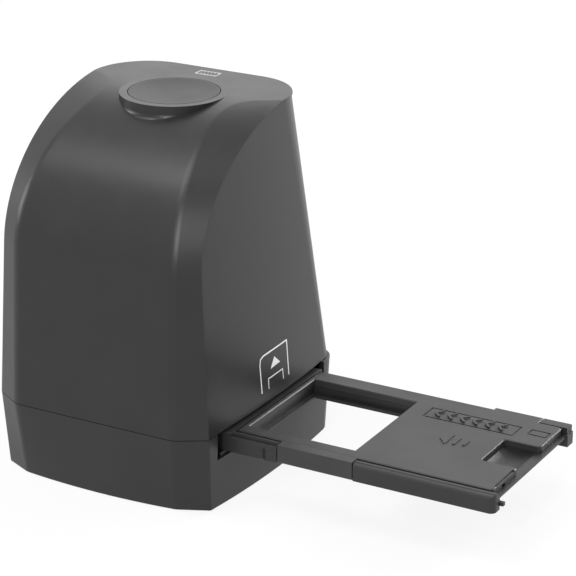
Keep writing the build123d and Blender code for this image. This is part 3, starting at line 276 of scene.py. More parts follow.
class MouldedSkin(Effect):
    """The fine spark-eroded grain and slight mottle of moulded plastic."""

    name = "moulded skin"
    ports = (
        Port("Colour", COLOUR_KIND, (0.1, 0.1, 0.1)),
        Port("Mottle", NUMBER_KIND, 0.05),
        Port("Mottle Scale", NUMBER_KIND, 60.0),
        Port("Grain Scale", NUMBER_KIND, 3000.0),
        Port("Roughness", NUMBER_KIND, 0.5),
        Port("Roughness Spread", NUMBER_KIND, 0.06),
    )
    results = (("Colour", COLOUR_KIND), ("Roughness", NUMBER_KIND), ("Height", NUMBER_KIND))
    cloud_detail = 4.0
    cloud_band = (0.3, 0.7)
    grain_detail = 2.0
    grain_roughness = 0.6

    def fill(self, tree: Tree, inputs: Outputs) -> Sockets:
        """See Effect.fill."""
        place = tree.add("ShaderNodeTexCoord").outputs["Object"]
        cloud = tree.noise(place, inputs["Mottle Scale"], Detail=self.cloud_detail)
        grain = tree.noise(
            place, inputs["Grain Scale"], Detail=self.grain_detail, Roughness=self.grain_roughness
        )
        pits = tree.add("ShaderNodeTexVoronoi", Vector=place, Scale=inputs["Grain Scale"])
        shade = tree.spread(cloud, *self.cloud_band, -1.0, 1.0)
        dark = tree.maths("MULTIPLY", shade, inputs["Mottle"])
        centred = tree.maths("SUBTRACT", grain, 0.5)
        fleck = tree.maths("MULTIPLY", centred, inputs["Mottle"])
        gain = tree.maths("ADD", tree.maths("ADD", dark, fleck), 1.0)
        colour = tree.add("ShaderNodeVectorMath", {"operation": "SCALE"})
        tree.feed(colour.inputs[0], inputs["Colour"])
        tree.feed(colour.inputs["Scale"], gain)
        uneven = tree.maths("MULTIPLY", shade, inputs["Roughness Spread"])
        rough = tree.maths("ADD", inputs["Roughness"], uneven, clamp=True)
        relief = tree.maths("ADD", grain, pits.outputs["Distance"])
        height = tree.maths("MULTIPLY", relief, 0.5)
        return {"Colour": colour.outputs[0], "Roughness": rough, "Height": height}


class RubbedEdges(Effect):
    """Edges that handling has rubbed paler and smoother."""

    name = "rubbed edges"
    ports = (
        Port("Colour", COLOUR_KIND, (0.1, 0.1, 0.1)),
        Port("Rubbed Colour", COLOUR_KIND, (0.3, 0.3, 0.3)),
        Port("Amount", NUMBER_KIND, 0.3),
        Port("Roughness", NUMBER_KIND, 0.5),
        Port("Rubbed Roughness", NUMBER_KIND, 0.3),
    )
    results = (("Colour", COLOUR_KIND), ("Roughness", NUMBER_KIND))
    sharp_band = (0.52, 0.62)
    patch_scale = 90.0
    patch_detail = 5.0
    patch_band = (0.35, 0.65)

    def fill(self, tree: Tree, inputs: Outputs) -> Sockets:
        """See Effect.fill."""
        place = tree.add("ShaderNodeTexCoord").outputs["Object"]
        ridge = tree.add("ShaderNodeNewGeometry").outputs["Pointiness"]
        patches = tree.noise(place, self.patch_scale, Detail=self.patch_detail)
        sharp = tree.spread(ridge, *self.sharp_band)
        broken = tree.spread(patches, *self.patch_band)
        worn = tree.maths("MULTIPLY", sharp, broken)
        mask = tree.maths("MULTIPLY", worn, inputs["Amount"], clamp=True)
        colour = tree.mix(mask, inputs["Colour"], inputs["Rubbed Colour"])
        rough = tree.spread(mask, 0.0, 1.0, inputs["Roughness"], inputs["Rubbed Roughness"])
        return {"Colour": colour, "Roughness": rough}


class SettledDust(Effect):
    """A faint film of dust on what faces up."""

    name = "settled dust"
    ports = (
        Port("Colour", COLOUR_KIND, (0.1, 0.1, 0.1)),
        Port("Dust Colour", COLOUR_KIND, (0.32, 0.31, 0.29)),
        Port("Amount", NUMBER_KIND, 0.03),
        Port("Roughness", NUMBER_KIND, 0.5),
    )
    results = (("Colour", COLOUR_KIND), ("Roughness", NUMBER_KIND))
    upward_band = (0.4, 0.95)
    drift_scale = 140.0
    drift_detail = 8.0
    drift_roughness = 0.7
    drift_band = (0.35, 0.75)

    def fill(self, tree: Tree, inputs: Outputs) -> Sockets:
        """See Effect.fill."""
        place = tree.add("ShaderNodeTexCoord").outputs["Object"]
        normal = tree.add("ShaderNodeNewGeometry").outputs["Normal"]
        upward = tree.add("ShaderNodeSeparateXYZ", Vector=normal).outputs["Z"]
        drift = tree.noise(
            place, self.drift_scale, Detail=self.drift_detail, Roughness=self.drift_roughness
        )
        lying = tree.spread(upward, *self.upward_band)
        mask = tree.maths("MULTIPLY", lying, tree.spread(drift, *self.drift_band))
        mask = tree.maths("MULTIPLY", mask, inputs["Amount"], clamp=True)
        colour = tree.mix(mask, inputs["Colour"], inputs["Dust Colour"])
        rough = tree.maths("ADD", inputs["Roughness"], mask, clamp=True)
        return {"Colour": colour, "Roughness": rough}


class DrawnLines(Effect):
    """The fine lines of drawn, turned or brushed metal."""

    name = "drawn lines"
    ports = (
        Port("Colour", COLOUR_KIND, (0.6, 0.6, 0.6)),
        Port("Stretch X", NUMBER_KIND, 1.0),
        Port("Stretch Y", NUMBER_KIND, 1.0),
        Port("Stretch Z", NUMBER_KIND, 1.0),
        Port("Line Scale", NUMBER_KIND, 4000.0),
        Port("Contrast", NUMBER_KIND, 0.15),
        Port("Roughness", NUMBER_KIND, 0.3),
    )
    results = (("Colour", COLOUR_KIND), ("Roughness", NUMBER_KIND), ("Height", NUMBER_KIND))
    line_detail = 3.0
    stain_scale = 250.0
    stain_detail = 4.0
    stain_share = 0.6
    rough_share = 0.25

    def fill(self, tree: Tree, inputs: Outputs) -> Sockets:
        """See Effect.fill."""
        place = tree.add("ShaderNodeTexCoord").outputs["Object"]
        stretch = tree.add(
            "ShaderNodeCombineXYZ",
            X=inputs["Stretch X"], Y=inputs["Stretch Y"], Z=inputs["Stretch Z"],
        )
        drawn = tree.add("ShaderNodeVectorMath", {"operation": "MULTIPLY"})
        tree.feed(drawn.inputs[0], place)
        tree.feed(drawn.inputs[1], stretch.outputs[0])
        lines = tree.noise(drawn.outputs[0], inputs["Line Scale"], Detail=self.line_detail)
        stain = tree.noise(place, self.stain_scale, Detail=self.stain_detail)
        tone = tree.maths("SUBTRACT", lines, 0.5)
        cloud = tree.maths("SUBTRACT", stain, 0.5)
        tone = tree.maths("ADD", tone, tree.maths("MULTIPLY", cloud, self.stain_share))
        gain = tree.maths("ADD", tree.maths("MULTIPLY", tone, inputs["Contrast"]), 1.0)
        colour = tree.add("ShaderNodeVectorMath", {"operation": "SCALE"})
        tree.feed(colour.inputs[0], inputs["Colour"])
        tree.feed(colour.inputs["Scale"], gain)
        uneven = tree.maths("MULTIPLY", tone, self.rough_share)
        rough = tree.maths("ADD", inputs["Roughness"], uneven, clamp=True)
        return {"Colour": colour.outputs[0], "Roughness": rough, "Height": lines}


class CopperTracks(Effect):
    """Copper tracks, pads and vias under a board's solder resist."""

    name = "copper tracks"
    ports = (
        Port("Resist Colour", COLOUR_KIND, (0.02, 0.16, 0.07)),
        Port("Track Colour", COLOUR_KIND, (0.04, 0.26, 0.11)),
        Port("Pad Colour", COLOUR_KIND, (0.6, 0.58, 0.5)),
        Port("Scale", NUMBER_KIND, 420.0),
    )
    results = (
        ("Colour", COLOUR_KIND),
        ("Roughness", NUMBER_KIND),
        ("Metallic", NUMBER_KIND),
        ("Height", NUMBER_KIND),
    )
    edge_band = (0.05, 0.09)
    pad_band = (0.07, 0.09)
    bend_scale = 200.0
    bend_distortion = 3.0
    bend_band = (0.3, 0.4)
    resist_roughness = 0.34
    pad_roughness = 0.24
    track_height = 0.6

    def fill(self, tree: Tree, inputs: Outputs) -> Sockets:
        """See Effect.fill."""
        place = tree.add("ShaderNodeTexCoord").outputs["Object"]
        cells = tree.add(
            "ShaderNodeTexVoronoi", {"distance": "CHEBYCHEV"},
            Vector=place, Scale=inputs["Scale"],
        )
        edges = tree.add(
            "ShaderNodeTexVoronoi", {"feature": "DISTANCE_TO_EDGE", "distance": "EUCLIDEAN"},
            Vector=place, Scale=inputs["Scale"],
        )
        bends = tree.add(
            "ShaderNodeTexWave", {"bands_direction": "DIAGONAL"},
            Vector=place, Scale=self.bend_scale, Distortion=self.bend_distortion,
        )
        line = tree.spread(edges.outputs["Distance"], *self.edge_band, 1.0, 0.0)
        track = tree.maths("MULTIPLY", line, tree.spread(bends.outputs["Fac"], *self.bend_band))
        pad = tree.spread(cells.outputs["Distance"], *self.pad_band, 1.0, 0.0)
        colour = tree.mix(track, inputs["Resist Colour"], inputs["Track Colour"])
        colour = tree.mix(pad, colour, inputs["Pad Colour"])
        rough = tree.spread(pad, 0.0, 1.0, self.resist_roughness, self.pad_roughness)
        height = tree.maths("MAXIMUM", tree.maths("MULTIPLY", track, self.track_height), pad)
        return {"Colour": colour, "Roughness": rough, "Metallic": pad, "Height": height}


class RibbonConductors(Effect):
    """The side-by-side conductors that show through a flat cable's film."""

    name = "ribbon conductors"
    ports = (
        Port("Film Colour", COLOUR_KIND, (0.7, 0.7, 0.68)),
        Port("Conductor Colour", COLOUR_KIND, (0.45, 0.45, 0.42)),
        Port("Pitch", NUMBER_KIND, 0.001),
    )
    results = (("Colour", COLOUR_KIND), ("Height", NUMBER_KIND))
    strip_band = (-0.2, 0.2)

    def fill(self, tree: Tree, inputs: Outputs) -> Sockets:
        """See Effect.fill."""
        place = tree.add("ShaderNodeTexCoord").outputs["Object"]
        across = tree.add("ShaderNodeSeparateXYZ", Vector=place).outputs["X"]
        count = tree.maths("DIVIDE", across, inputs["Pitch"])
        wave = tree.maths("SINE", tree.maths("MULTIPLY", count, 2 * math.pi))
        strip = tree.spread(wave, *self.strip_band)
        return {
            "Colour": tree.mix(strip, inputs["Film Colour"], inputs["Conductor Colour"]),
            "Height": strip,
        }


# ---------------------------------------------------------------- finishes


@dataclass(frozen=True)
class Finish:
    """A named surface finish. A subclass says how its shader is wired."""

    name: str
    slot: str

    def material(self) -> bpy.types.Material:
        """Build the material once.

        Returns:
            The finished material.
        """
        found = bpy.data.materials.get(self.name)
        if found:
            return found
        material = bpy.data.materials.new(self.name)
        material.use_nodes = True
        material.node_tree.nodes.clear()
        tree = Tree(material.node_tree)
        output = tree.add("ShaderNodeOutputMaterial")
        tree.feed(output.inputs["Surface"], self.shade(tree))
        return material

    def shade(self, tree: Tree) -> Socket:
        """Wire the shader.

        Args:
            tree: the material's tree.

        Returns:
            The shader's socket.
        """
        raise NotImplementedError

    def bump(self, tree: Tree, height: Socket, depth: float) -> Socket:
        """Turn a height into a normal.

        Args:
            tree: the material's tree.
            height: the height, from 0 to 1.
            depth: the relief in metres.

        Returns:
            The normal's socket.
        """
        return tree.add("ShaderNodeBump", Height=height, Distance=depth).outputs["Normal"]


@dataclass(frozen=True)
class PlasticFinish(Finish):
    """Moulded plastic with grain, mottle, rubbed edges and a little dust."""

    colour: Colour
    roughness: float = 0.5
    spread: float = 0.05
    mottle: float = 0.05
    grain_scale: float = 2600.0
    grain_depth: float = 0.00002
    rubbed: float = 0.15
    rubbed_gain: float = 2.0
    rubbed_polish: float = 0.8
    dust: float = 0.02
    specular: float = 0.5

    def shade(self, tree: Tree) -> Socket:
        """See Finish.shade."""
        skin = MouldedSkin().place(
            tree, Colour=self.colour, Mottle=self.mottle, Grain_Scale=self.grain_scale,
            Roughness=self.roughness, Roughness_Spread=self.spread,
        )
        pale = tuple(min(1.0, part * self.rubbed_gain) for part in self.colour)
        edges = RubbedEdges().place(
            tree, Colour=skin["Colour"], Rubbed_Colour=pale, Amount=self.rubbed,
            Roughness=skin["Roughness"], Rubbed_Roughness=self.roughness * self.rubbed_polish,
        )
        dust = SettledDust().place(
            tree, Colour=edges["Colour"], Amount=self.dust, Roughness=edges["Roughness"],
        )
        shader = tree.add(
            "ShaderNodeBsdfPrincipled", Base_Color=dust["Colour"], Roughness=dust["Roughness"],
            Normal=self.bump(tree, skin["Height"], self.grain_depth),
        )
        shader.inputs["Specular IOR Level"].default_value = self.specular
        return shader.outputs[0]


@dataclass(frozen=True)
class MetalFinish(Finish):
    """Drawn, turned or plated metal."""

    colour: Colour
    roughness: float = 0.3
    lay: Lay = Lay.ROUND_Z
    contrast: float = 0.2
    line_depth: float = 0.000004

    def shade(self, tree: Tree) -> Socket:
        """See Finish.shade."""
        stretch = self.lay.value
        lines = DrawnLines().place(
            tree, Colour=self.colour, Contrast=self.contrast, Roughness=self.roughness,
            Stretch_X=stretch[0], Stretch_Y=stretch[1], Stretch_Z=stretch[2],
        )
        return tree.add(
            "ShaderNodeBsdfPrincipled", Base_Color=lines["Colour"], Roughness=lines["Roughness"],
            Metallic=1.0, Normal=self.bump(tree, lines["Height"], self.line_depth),
        ).outputs[0]


@dataclass(frozen=True)
class GlassFinish(Finish):
    """Coated or tinted optical glass."""

    colour: Colour
    roughness: float = 0.02
    index: float = 1.52
    haze_scale: float = 300.0
    haze_detail: float = 6.0
    haze_from: float = 0.4
    tint_full: float = 0.7
    tint_loss: float = 0.15
    rough_full: float = 0.8
    rough_gain: float = 0.06

    def shade(self, tree: Tree) -> Socket:
        """See Finish.shade."""
        place = tree.add("ShaderNodeTexCoord").outputs["Object"]
        haze = tree.noise(place, self.haze_scale, Detail=self.haze_detail)
        faded = tree.spread(haze, self.haze_from, self.tint_full, 0.0, self.tint_loss)
        tint = tree.mix(faded, self.colour, WHITE)
        rough = tree.spread(
            haze, self.haze_from, self.rough_full, self.roughness, self.roughness + self.rough_gain
        )
        shader = tree.add("ShaderNodeBsdfPrincipled", Base_Color=tint, Roughness=rough)
        shader.inputs["Transmission Weight"].default_value = 1.0
        shader.inputs["IOR"].default_value = self.index
        return shader.outputs[0]


@dataclass(frozen=True)
class BoardFinish(Finish):
    """A printed circuit board's solder resist over its tracks."""

    colour: Colour
    track: Colour
    scale: float = 420.0
    relief: float = 0.00003

    def shade(self, tree: Tree) -> Socket:
        """See Finish.shade."""
        board = CopperTracks().place(
            tree, Resist_Colour=self.colour, Track_Colour=self.track, Scale=self.scale
        )
        return tree.add(
            "ShaderNodeBsdfPrincipled", Base_Color=board["Colour"], Roughness=board["Roughness"],
            Metallic=board["Metallic"], Normal=self.bump(tree, board["Height"], self.relief),
        ).outputs[0]


@dataclass(frozen=True)
class RibbonFinish(Finish):
    """A flat cable's film over its conductors."""

    colour: Colour
    conductor: Colour
    pitch: float = 0.001
    mottle: float = 0.03
    roughness: float = 0.38
    relief: float = 0.00004

    def shade(self, tree: Tree) -> Socket:
        """See Finish.shade."""
        ribbon = RibbonConductors().place(
            tree, Film_Colour=self.colour, Conductor_Colour=self.conductor, Pitch=self.pitch,
        )
        skin = MouldedSkin().place(
            tree, Colour=ribbon["Colour"], Mottle=self.mottle, Roughness=self.roughness
        )
        return tree.add(
            "ShaderNodeBsdfPrincipled", Base_Color=skin["Colour"], Roughness=skin["Roughness"],
            Normal=self.bump(tree, ribbon["Height"], self.relief),
        ).outputs[0]


@dataclass(frozen=True)
class OpalFinish(Finish):
    """Opal acrylic or phosphor gel that light goes a little way into."""

    colour: Colour
    roughness: float = 0.3
    depth: float = 0.002
    mottle: float = 0.02
    mottle_scale: float = 120.0
    relief: float = 0.000008
    scatter: float = 0.3

    def shade(self, tree: Tree) -> Socket:
        """See Finish.shade."""
        skin = MouldedSkin().place(
            tree, Colour=self.colour, Mottle=self.mottle, Mottle_Scale=self.mottle_scale,
            Roughness=self.roughness,
        )
        shader = tree.add(
            "ShaderNodeBsdfPrincipled", Base_Color=skin["Colour"], Roughness=skin["Roughness"],
            Normal=self.bump(tree, skin["Height"], self.relief),
        )
        shader.inputs["Subsurface Weight"].default_value = self.scatter
        shader.inputs["Subsurface Scale"].default_value = self.depth
        return shader.outputs[0]


COVER = PlasticFinish(
    "front cover satin plastic", "cover_plastic", (0.017, 0.017, 0.018),
    roughness=0.34, spread=0.03, specular=0.32,
)
SIDE = PlasticFinish(
    "rear housing satin plastic", "side_plastic", (0.017, 0.017, 0.018),
    roughness=0.34, spread=0.03, specular=0.34,
)
BASE = PlasticFinish(
    "base fine matte plastic", "base_plastic", (0.018, 0.018, 0.019),
    roughness=0.38, spread=0.03, specular=0.32,
)
BUTTON = PlasticFinish(
    "scan button satin plastic", "button_plastic", (0.018, 0.018, 0.019),
    roughness=0.42, spread=0.03, specular=0.3,
)
TRAY = PlasticFinish(
    "tray fine matte plastic", "tray_plastic", (0.018, 0.018, 0.019),
    roughness=0.42, spread=0.04, specular=0.35,
)
TRAY_COVER = PlasticFinish(
    "tray cover fine matte plastic", "tray_cover_plastic", (0.024, 0.024, 0.025),
    roughness=0.46, spread=0.04, specular=0.4,
)
BLACK = PlasticFinish(
    "black moulded plastic", "black_plastic", (0.014, 0.014, 0.015), spread=0.06, dust=0.01,
)
RUBBER = PlasticFinish(
    "foot rubber", "foot_rubber", (0.016, 0.016, 0.016), roughness=0.8, spread=0.08,
    grain_scale=1500.0, grain_depth=0.00005, dust=0.05, specular=0.3,
)
INK = PlasticFinish(
    "printed white ink", "side_plastic", (0.82, 0.82, 0.82), grain_depth=0.000005, rubbed=0.0,
)
BUTTON_INK = PlasticFinish(
    "printed pale ink", "cover_plastic", (0.75, 0.75, 0.75), grain_depth=0.000005, rubbed=0.0,
)
RED_PLUNGER = PlasticFinish(
    "switch plunger plastic", "plunger_plastic", (0.3, 0.03, 0.02), roughness=0.4,
)
PALE_PLUNGER = PlasticFinish(
    "detent plunger acetal", "detent_plastic", (0.72, 0.71, 0.66), roughness=0.34, mottle=0.03,
)
REFLECTOR = PlasticFinish(
    "light box white plastic", "reflector_plastic", (0.8, 0.8, 0.78), roughness=0.55, mottle=0.02,
)
NYLON = PlasticFinish(
    "connector nylon", "connector_nylon", (0.74, 0.71, 0.6), roughness=0.45, mottle=0.04,
)
SOCKET = PlasticFinish(
    "socket tongue plastic", "socket_plastic", (0.72, 0.72, 0.7), roughness=0.4,
)
EPOXY = PlasticFinish(
    "chip epoxy", "chip_epoxy", (0.02, 0.02, 0.022), roughness=0.55, grain_scale=5000.0,
)
CERAMIC = PlasticFinish(
    "sensor package", "sensor_ceramic", (0.06, 0.045, 0.07), roughness=0.12, rubbed=0.0,
)
BLACK_SCREW = MetalFinish("black oxide screw", "black_screw", (0.045, 0.045, 0.047), 0.42)
ZINC = MetalFinish("zinc plated screw", "plated_screw", (0.62, 0.62, 0.58))
PIN = MetalFinish("hinge pin steel", "pin_steel", (0.6, 0.6, 0.6), 0.25, Lay.ALONG_X)
SPRING = MetalFinish("spring steel", "spring_steel", (0.5, 0.5, 0.5), 0.3, Lay.ALONG_Y)
TIN = MetalFinish("tin plated shell", "tin_plate", (0.7, 0.7, 0.69), 0.28, Lay.ALONG_Y)
GOLD = MetalFinish("gold plated contact", "tin_plate", (0.83, 0.62, 0.25), 0.25, Lay.ALONG_Y)
ANODISED = MetalFinish("black anodised barrel", "anodised_barrel", (0.04, 0.04, 0.042), 0.38)
BOARD = BoardFinish(
    "green circuit board", "circuit_board", (0.015, 0.11, 0.045), track=(0.03, 0.19, 0.075),
)
LENS = GlassFinish("coated lens glass", "lens_glass", (0.93, 0.97, 0.95))
FILTER = GlassFinish("blue filter glass", "filter_glass", (0.55, 0.8, 0.86))
OPAL = OpalFinish("opal diffuser", "diffuser_acrylic", (0.86, 0.86, 0.84))
PHOSPHOR = OpalFinish(
    "led phosphor gel", "led_package", (0.86, 0.7, 0.22), roughness=0.25, depth=0.0005,
)
RIBBON = RibbonFinish(
    "flat cable", "ribbon_cable", (0.72, 0.72, 0.69), conductor=(0.5, 0.5, 0.47),
)


# ---------------------------------------------------------------- making pieces


def dress(node: str, finish: Finish) -> None:
    """Give a CAD node its finish.

    Args:
        node: the node's name.
        finish: the finish for all of it.
    """
    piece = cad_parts[node]
    for place in piece.material_slots:
        place.material = finish.material()
    if not piece.material_slots:
        piece.data.materials.append(finish.material())
    LOG.info("dressed %s in %s", node, finish.name)


def make_piece(
    name: str,
    shape: Shape,
    body: Body,
    finish: Finish,
    stands_for: Sequence[str] = (),
) -> bpy.types.Object:
    """Turn a finished bmesh into a piece that rides on a body.

    Args:
        name: the piece's name.
        shape: its geometry, in metres, in the frame of the CAD. It is freed.
        body: the body that it rides on.
        finish: its finish.
        stands_for: CAD nodes that it replaces.

    Returns:
        The piece.
    """
    bmesh.ops.recalc_face_normals(shape, faces=shape.faces)
    for face in shape.faces:
        face.smooth = True
    for edge in shape.edges:
        edge.smooth = len(edge.link_faces) == 2 and edge.calc_face_angle(0.0) < SMOOTH_BELOW
    data = bpy.data.meshes.new(name)
    shape.to_mesh(data)
    shape.free()
    data.materials.append(finish.material())
    piece = bpy.data.objects.new(name, data)
    bpy.context.scene.collection.objects.link(piece)
    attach(piece, body.value)
    if stands_for:
        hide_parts(*stands_for)
    LOG.info("made %s with %d faces on %s", name, len(data.polygons), body.value)
    return piece


def skin_of(node: str) -> BVHTree:
    """A search tree of a CAD node's surface.

    Args:
        node: the node's name.

    Returns:
        The tree.
    """
    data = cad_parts[node].data
    corners = [corner.co.copy() for corner in data.vertices]
    faces = [tuple(face.vertices) for face in data.polygons]
    return BVHTree.FromPolygons(corners, faces)


def stroke(
    points: Sequence[Point2], width: float, closed: bool = False
) -> list[list[Point2]]:
    """Cut a line of some width into short flat pieces with mitred corners.

    Args:
        points: the line's corners.
        width: its width.
        closed: whether it comes back to its start.

    Returns:
        The pieces' corners, four for each.
    """
    spots = [Vector(point) for point in points]
    count = len(spots)
    sides: list[tuple[Vector, Vector]] = []
    for index, spot in enumerate(spots):
        before = spots[index - 1] if closed or index > 0 else None
        after = spots[(index + 1) % count] if closed or index < count - 1 else None
        ahead = ((after - spot) if after is not None else (spot - before)).normalized()
        behind = (spot - before).normalized() if before is not None else ahead
        middle = (ahead + behind).normalized()
        across = Vector((-middle.y, middle.x))
        reach = width / 2 / max(SHARPEST_MITRE, across.dot(Vector((-ahead.y, ahead.x))))
        sides.append((spot + across * reach, spot - across * reach))
    quads: list[list[Point2]] = []
    for index in range(count if closed else count - 1):
        left, right = sides[index], sides[(index + 1) % count]
        parts = max(1, math.ceil((right[0] - left[0]).length / STROKE_STEP))
        for part in range(parts):
            low, high = part / parts, (part + 1) / parts
            quads.append([
                tuple(left[0].lerp(right[0], low)), tuple(left[0].lerp(right[0], high)),
                tuple(left[1].lerp(right[1], high)), tuple(left[1].lerp(right[1], low)),
            ])
    return quads


def print_on(
    surface: BVHTree,
    quads: Iterable[Sequence[Point2]],
    lift: Callable[[Point2], tuple[Vector, Vector]],
    thickness: float,
) -> Shape:
    """Lay flat printed shapes on a surface as a thin film of ink.

    Args:
        surface: the surface that carries them.
        quads: the corners of each flat piece, in the print's own two directions.
        lift: gives, for a corner, where to look from and in which direction.
        thickness: the film's thickness.

    Returns:
        The film as closed geometry.
    """
    shape = bmesh.new()
    for quad in quads:
        top, bottom = [], []
        for corner in quad:
            start, direction = lift(corner)
            place, normal, _, _ = surface.ray_cast(start, direction)
            outward = normal if normal.dot(direction) < 0 else -normal
            top.append(shape.verts.new(place + outward * thickness))
            bottom.append(shape.verts.new(place + outward * thickness * INK_FOOT))
        shape.faces.new(top)
        shape.faces.new(bottom[::-1])
        for index in range(len(quad)):
            following = (index + 1) % len(quad)
            shape.faces.new((top[index], bottom[index], bottom[following], top[following]))
    bmesh.ops.remove_doubles(shape, verts=shape.verts, dist=thickness * INK_WELD)
    return shape


def add_box(shape: Shape, low: Vector, high: Vector, bevel: float) -> None:
    """Add a box with rounded edges.

    Args:
        shape: the geometry that it joins.
        low: its lowest corner.
        high: its highest corner.
        bevel: the rounding of its edges.
    """
    made = bmesh.ops.create_cube(shape, size=1.0)["verts"]
    size, middle = high - low, (high + low) / 2
    for corner in made:
        corner.co = Vector(part * length for part, length in zip(corner.co, size)) + middle
    edges = list({edge for corner in made for edge in corner.link_edges})
    bmesh.ops.bevel(shape, geom=edges, offset=bevel, segments=2, profile=0.5, affect="EDGES")


def add_tube(shape: Shape, path: Sequence[Vector], radius: float, sides: int) -> None:
    """Add a round wire along a path, closed at both ends.

    Args:
        shape: the geometry that it joins.
        path: the points that it follows.
        radius: the wire's radius.
        sides: the number of sides.
    """
    rings: list[list[bmesh.types.BMVert]] = []
    for index, spot in enumerate(path):
        ahead = (path[min(index + 1, len(path) - 1)] - path[max(index - 1, 0)]).normalized()
        across = ahead.cross(TUBE_UP).normalized()
        up = across.cross(ahead)
        rings.append([
            shape.verts.new(spot + (across * math.cos(turn) + up * math.sin(turn)) * radius)
            for turn in (2 * math.pi * side / sides for side in range(sides))
        ])
    for ring, following in zip(rings, rings[1:]):
        for side in range(sides):
            after = (side + 1) % sides
            shape.faces.new((ring[side], ring[after], following[after], following[side]))
    shape.faces.new(rings[0][::-1])
    shape.faces.new(rings[-1])


# ---------------------------------------------------------------- sub-assemblies


@dataclass
class Assembly:
    """A group of CAD nodes that are dressed together."""

    finishes: ClassVar[dict[str, Finish]] = {}

    def build(self) -> None:
        """Dress the nodes and add what only the scene has."""
        for node, finish in self.finishes.items():
            dress(node, finish)
        self.add_details()

    def add_details(self) -> None:
        """Add the details that the CAD leaves to the scene. Most groups have none."""


@dataclass
class Housing(Assembly):
    """The front cover, the rear housing and the base, with what is printed on them."""

    film_thickness: float = 0.03 * MM
    outline_width: float = 0.65 * MM
    mark_width: float = 0.45 * MM
    look_right_from: float = 80 * MM
    look_down_from: float = 240 * MM
    side_frame: tuple[Point2, ...] = (
        (-9.2, 35.6), (-9.8, 47.3), (-9.2, 49.6), (-7.0, 50.4), (11.5, 50.6), (12.1, 35.9),
    )
    side_tray: tuple[Point2, ...] = ((-3.9, 35.7), (-4.0, 39.9), (7.3, 40.0), (7.6, 35.7))
    side_pointer: tuple[Point2, ...] = ((1.3, 47.4), (5.5, 43.7), (-1.9, 43.3))
    icon_middle: Point2 = (-1.0, 34.6)
    icon_half: Point2 = (4.6, 2.3)
    icon_width: float = 0.32 * MM
    perforations: int = 6
    perforation_half: float = 0.26 * MM
    perforation_inset: float = 0.78 * MM

    finishes: ClassVar[dict[str, Finish]] = {
        "front_cover": COVER,
        "rear_housing": SIDE,
        "base_shell": BASE,
        "base_plate": BLACK,
        "rubber_feet": RUBBER,
        "case_screws": BLACK_SCREW,
    }

    def add_details(self) -> None:
        """Print on the casings."""
        self.print_side()
        self.print_top()

    def print_side(self) -> None:
        """Print the sign that shows where the tray goes in."""
        def from_right(corner: Point2) -> tuple[Vector, Vector]:
            """Look at the right side from outside it."""
            return Vector((self.look_right_from, corner[0], corner[1])), Vector((-1, 0, 0))

        quads = stroke([(y * MM, z * MM) for y, z in self.side_frame], self.outline_width)
        quads += stroke([(y * MM, z * MM) for y, z in self.side_tray], self.mark_width)
        tip, right, left = [(y * MM, z * MM) for y, z in self.side_pointer]
        quads.append([tip, right, left])
        shape = print_on(skin_of("rear_housing"), quads, from_right, self.film_thickness)
        make_piece("side_sign_print", shape, Body.CHASSIS, INK)

    def print_top(self) -> None:
        """Print a small strip of film behind the button."""
        def from_above(corner: Point2) -> tuple[Vector, Vector]:
            """Look at the top from above it."""
            return Vector((corner[0], corner[1], self.look_down_from)), Vector((0, 0, -1))

        middle = Vector(self.icon_middle) * MM
        half = Vector(self.icon_half) * MM
        corners = [
            tuple(middle + Vector((half.x * side, half.y * end)))
            for side, end in ((-1, -1), (1, -1), (1, 1), (-1, 1))
        ]
        quads = stroke(corners, self.icon_width, closed=True)
        size = self.perforation_half
        for index in range(self.perforations):
            x = middle.x + half.x * (2 * (index + 0.5) / self.perforations - 1)
            for end in (-1, 1):
                y = middle.y + end * (half.y - self.perforation_inset)
                quads.append([
                    (x - size, y - size), (x + size, y - size),
                    (x + size, y + size), (x - size, y + size),
                ])
        shape = print_on(skin_of("front_cover"), quads, from_above, self.film_thickness)
        make_piece("top_film_print", shape, Body.CHASSIS, BUTTON_INK)


@dataclass
class ScanButton(Assembly):
    """The button, its switch and their board."""

    finishes: ClassVar[dict[str, Finish]] = {
        "scan_button": BUTTON,
        "button_board": BOARD,
        "button_board_screws": ZINC,
        "tact_switch": BLACK,
        "tact_plunger": RED_PLUNGER,
    }


@dataclass
class FilmTray(Assembly):
    """The sliding tray and its hinged cover."""

    chevrons: int = 6
    chevron_left: float = 109.2
    chevron_pitch: float = 5.3
    chevron_reach: float = 2.6
    chevron_half: float = 2.7
    chevron_middle: float = 19.4
    chevron_width: float = 1.0
    chevron_height: float = 0.35
    chevron_root: float = 0.01
    chevron_weld: float = 0.001

    finishes: ClassVar[dict[str, Finish]] = {
        "tray_frame": TRAY,
        "tray_cover": TRAY_COVER,
        "tray_hinge_pin": PIN,
    }

    def add_details(self) -> None:
        """Raise a row of pointers inside the cover's engraved outline."""
        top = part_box("tray_cover")[1].z
        shape = bmesh.new()
        for index in range(self.chevrons):
            tip = self.chevron_left + index * self.chevron_pitch
            line = [
                (tip + self.chevron_reach, self.chevron_middle + self.chevron_half),
                (tip, self.chevron_middle),
                (tip + self.chevron_reach, self.chevron_middle - self.chevron_half),
            ]
            for quad in stroke([(x * MM, y * MM) for x, y in line], self.chevron_width * MM):
                low = [shape.verts.new((x, y, top - self.chevron_root * MM)) for x, y in quad]
                high = [shape.verts.new((x, y, top + self.chevron_height * MM)) for x, y in quad]
                shape.faces.new(high)
                shape.faces.new(low[::-1])
                for corner in range(4):
                    after = (corner + 1) % 4
                    shape.faces.new((high[corner], low[corner], low[after], high[after]))
        bmesh.ops.remove_doubles(shape, verts=shape.verts, dist=self.chevron_weld * MM)
        make_piece("tray_cover_pointers", shape, Body.TRAY_COVER, TRAY_COVER)


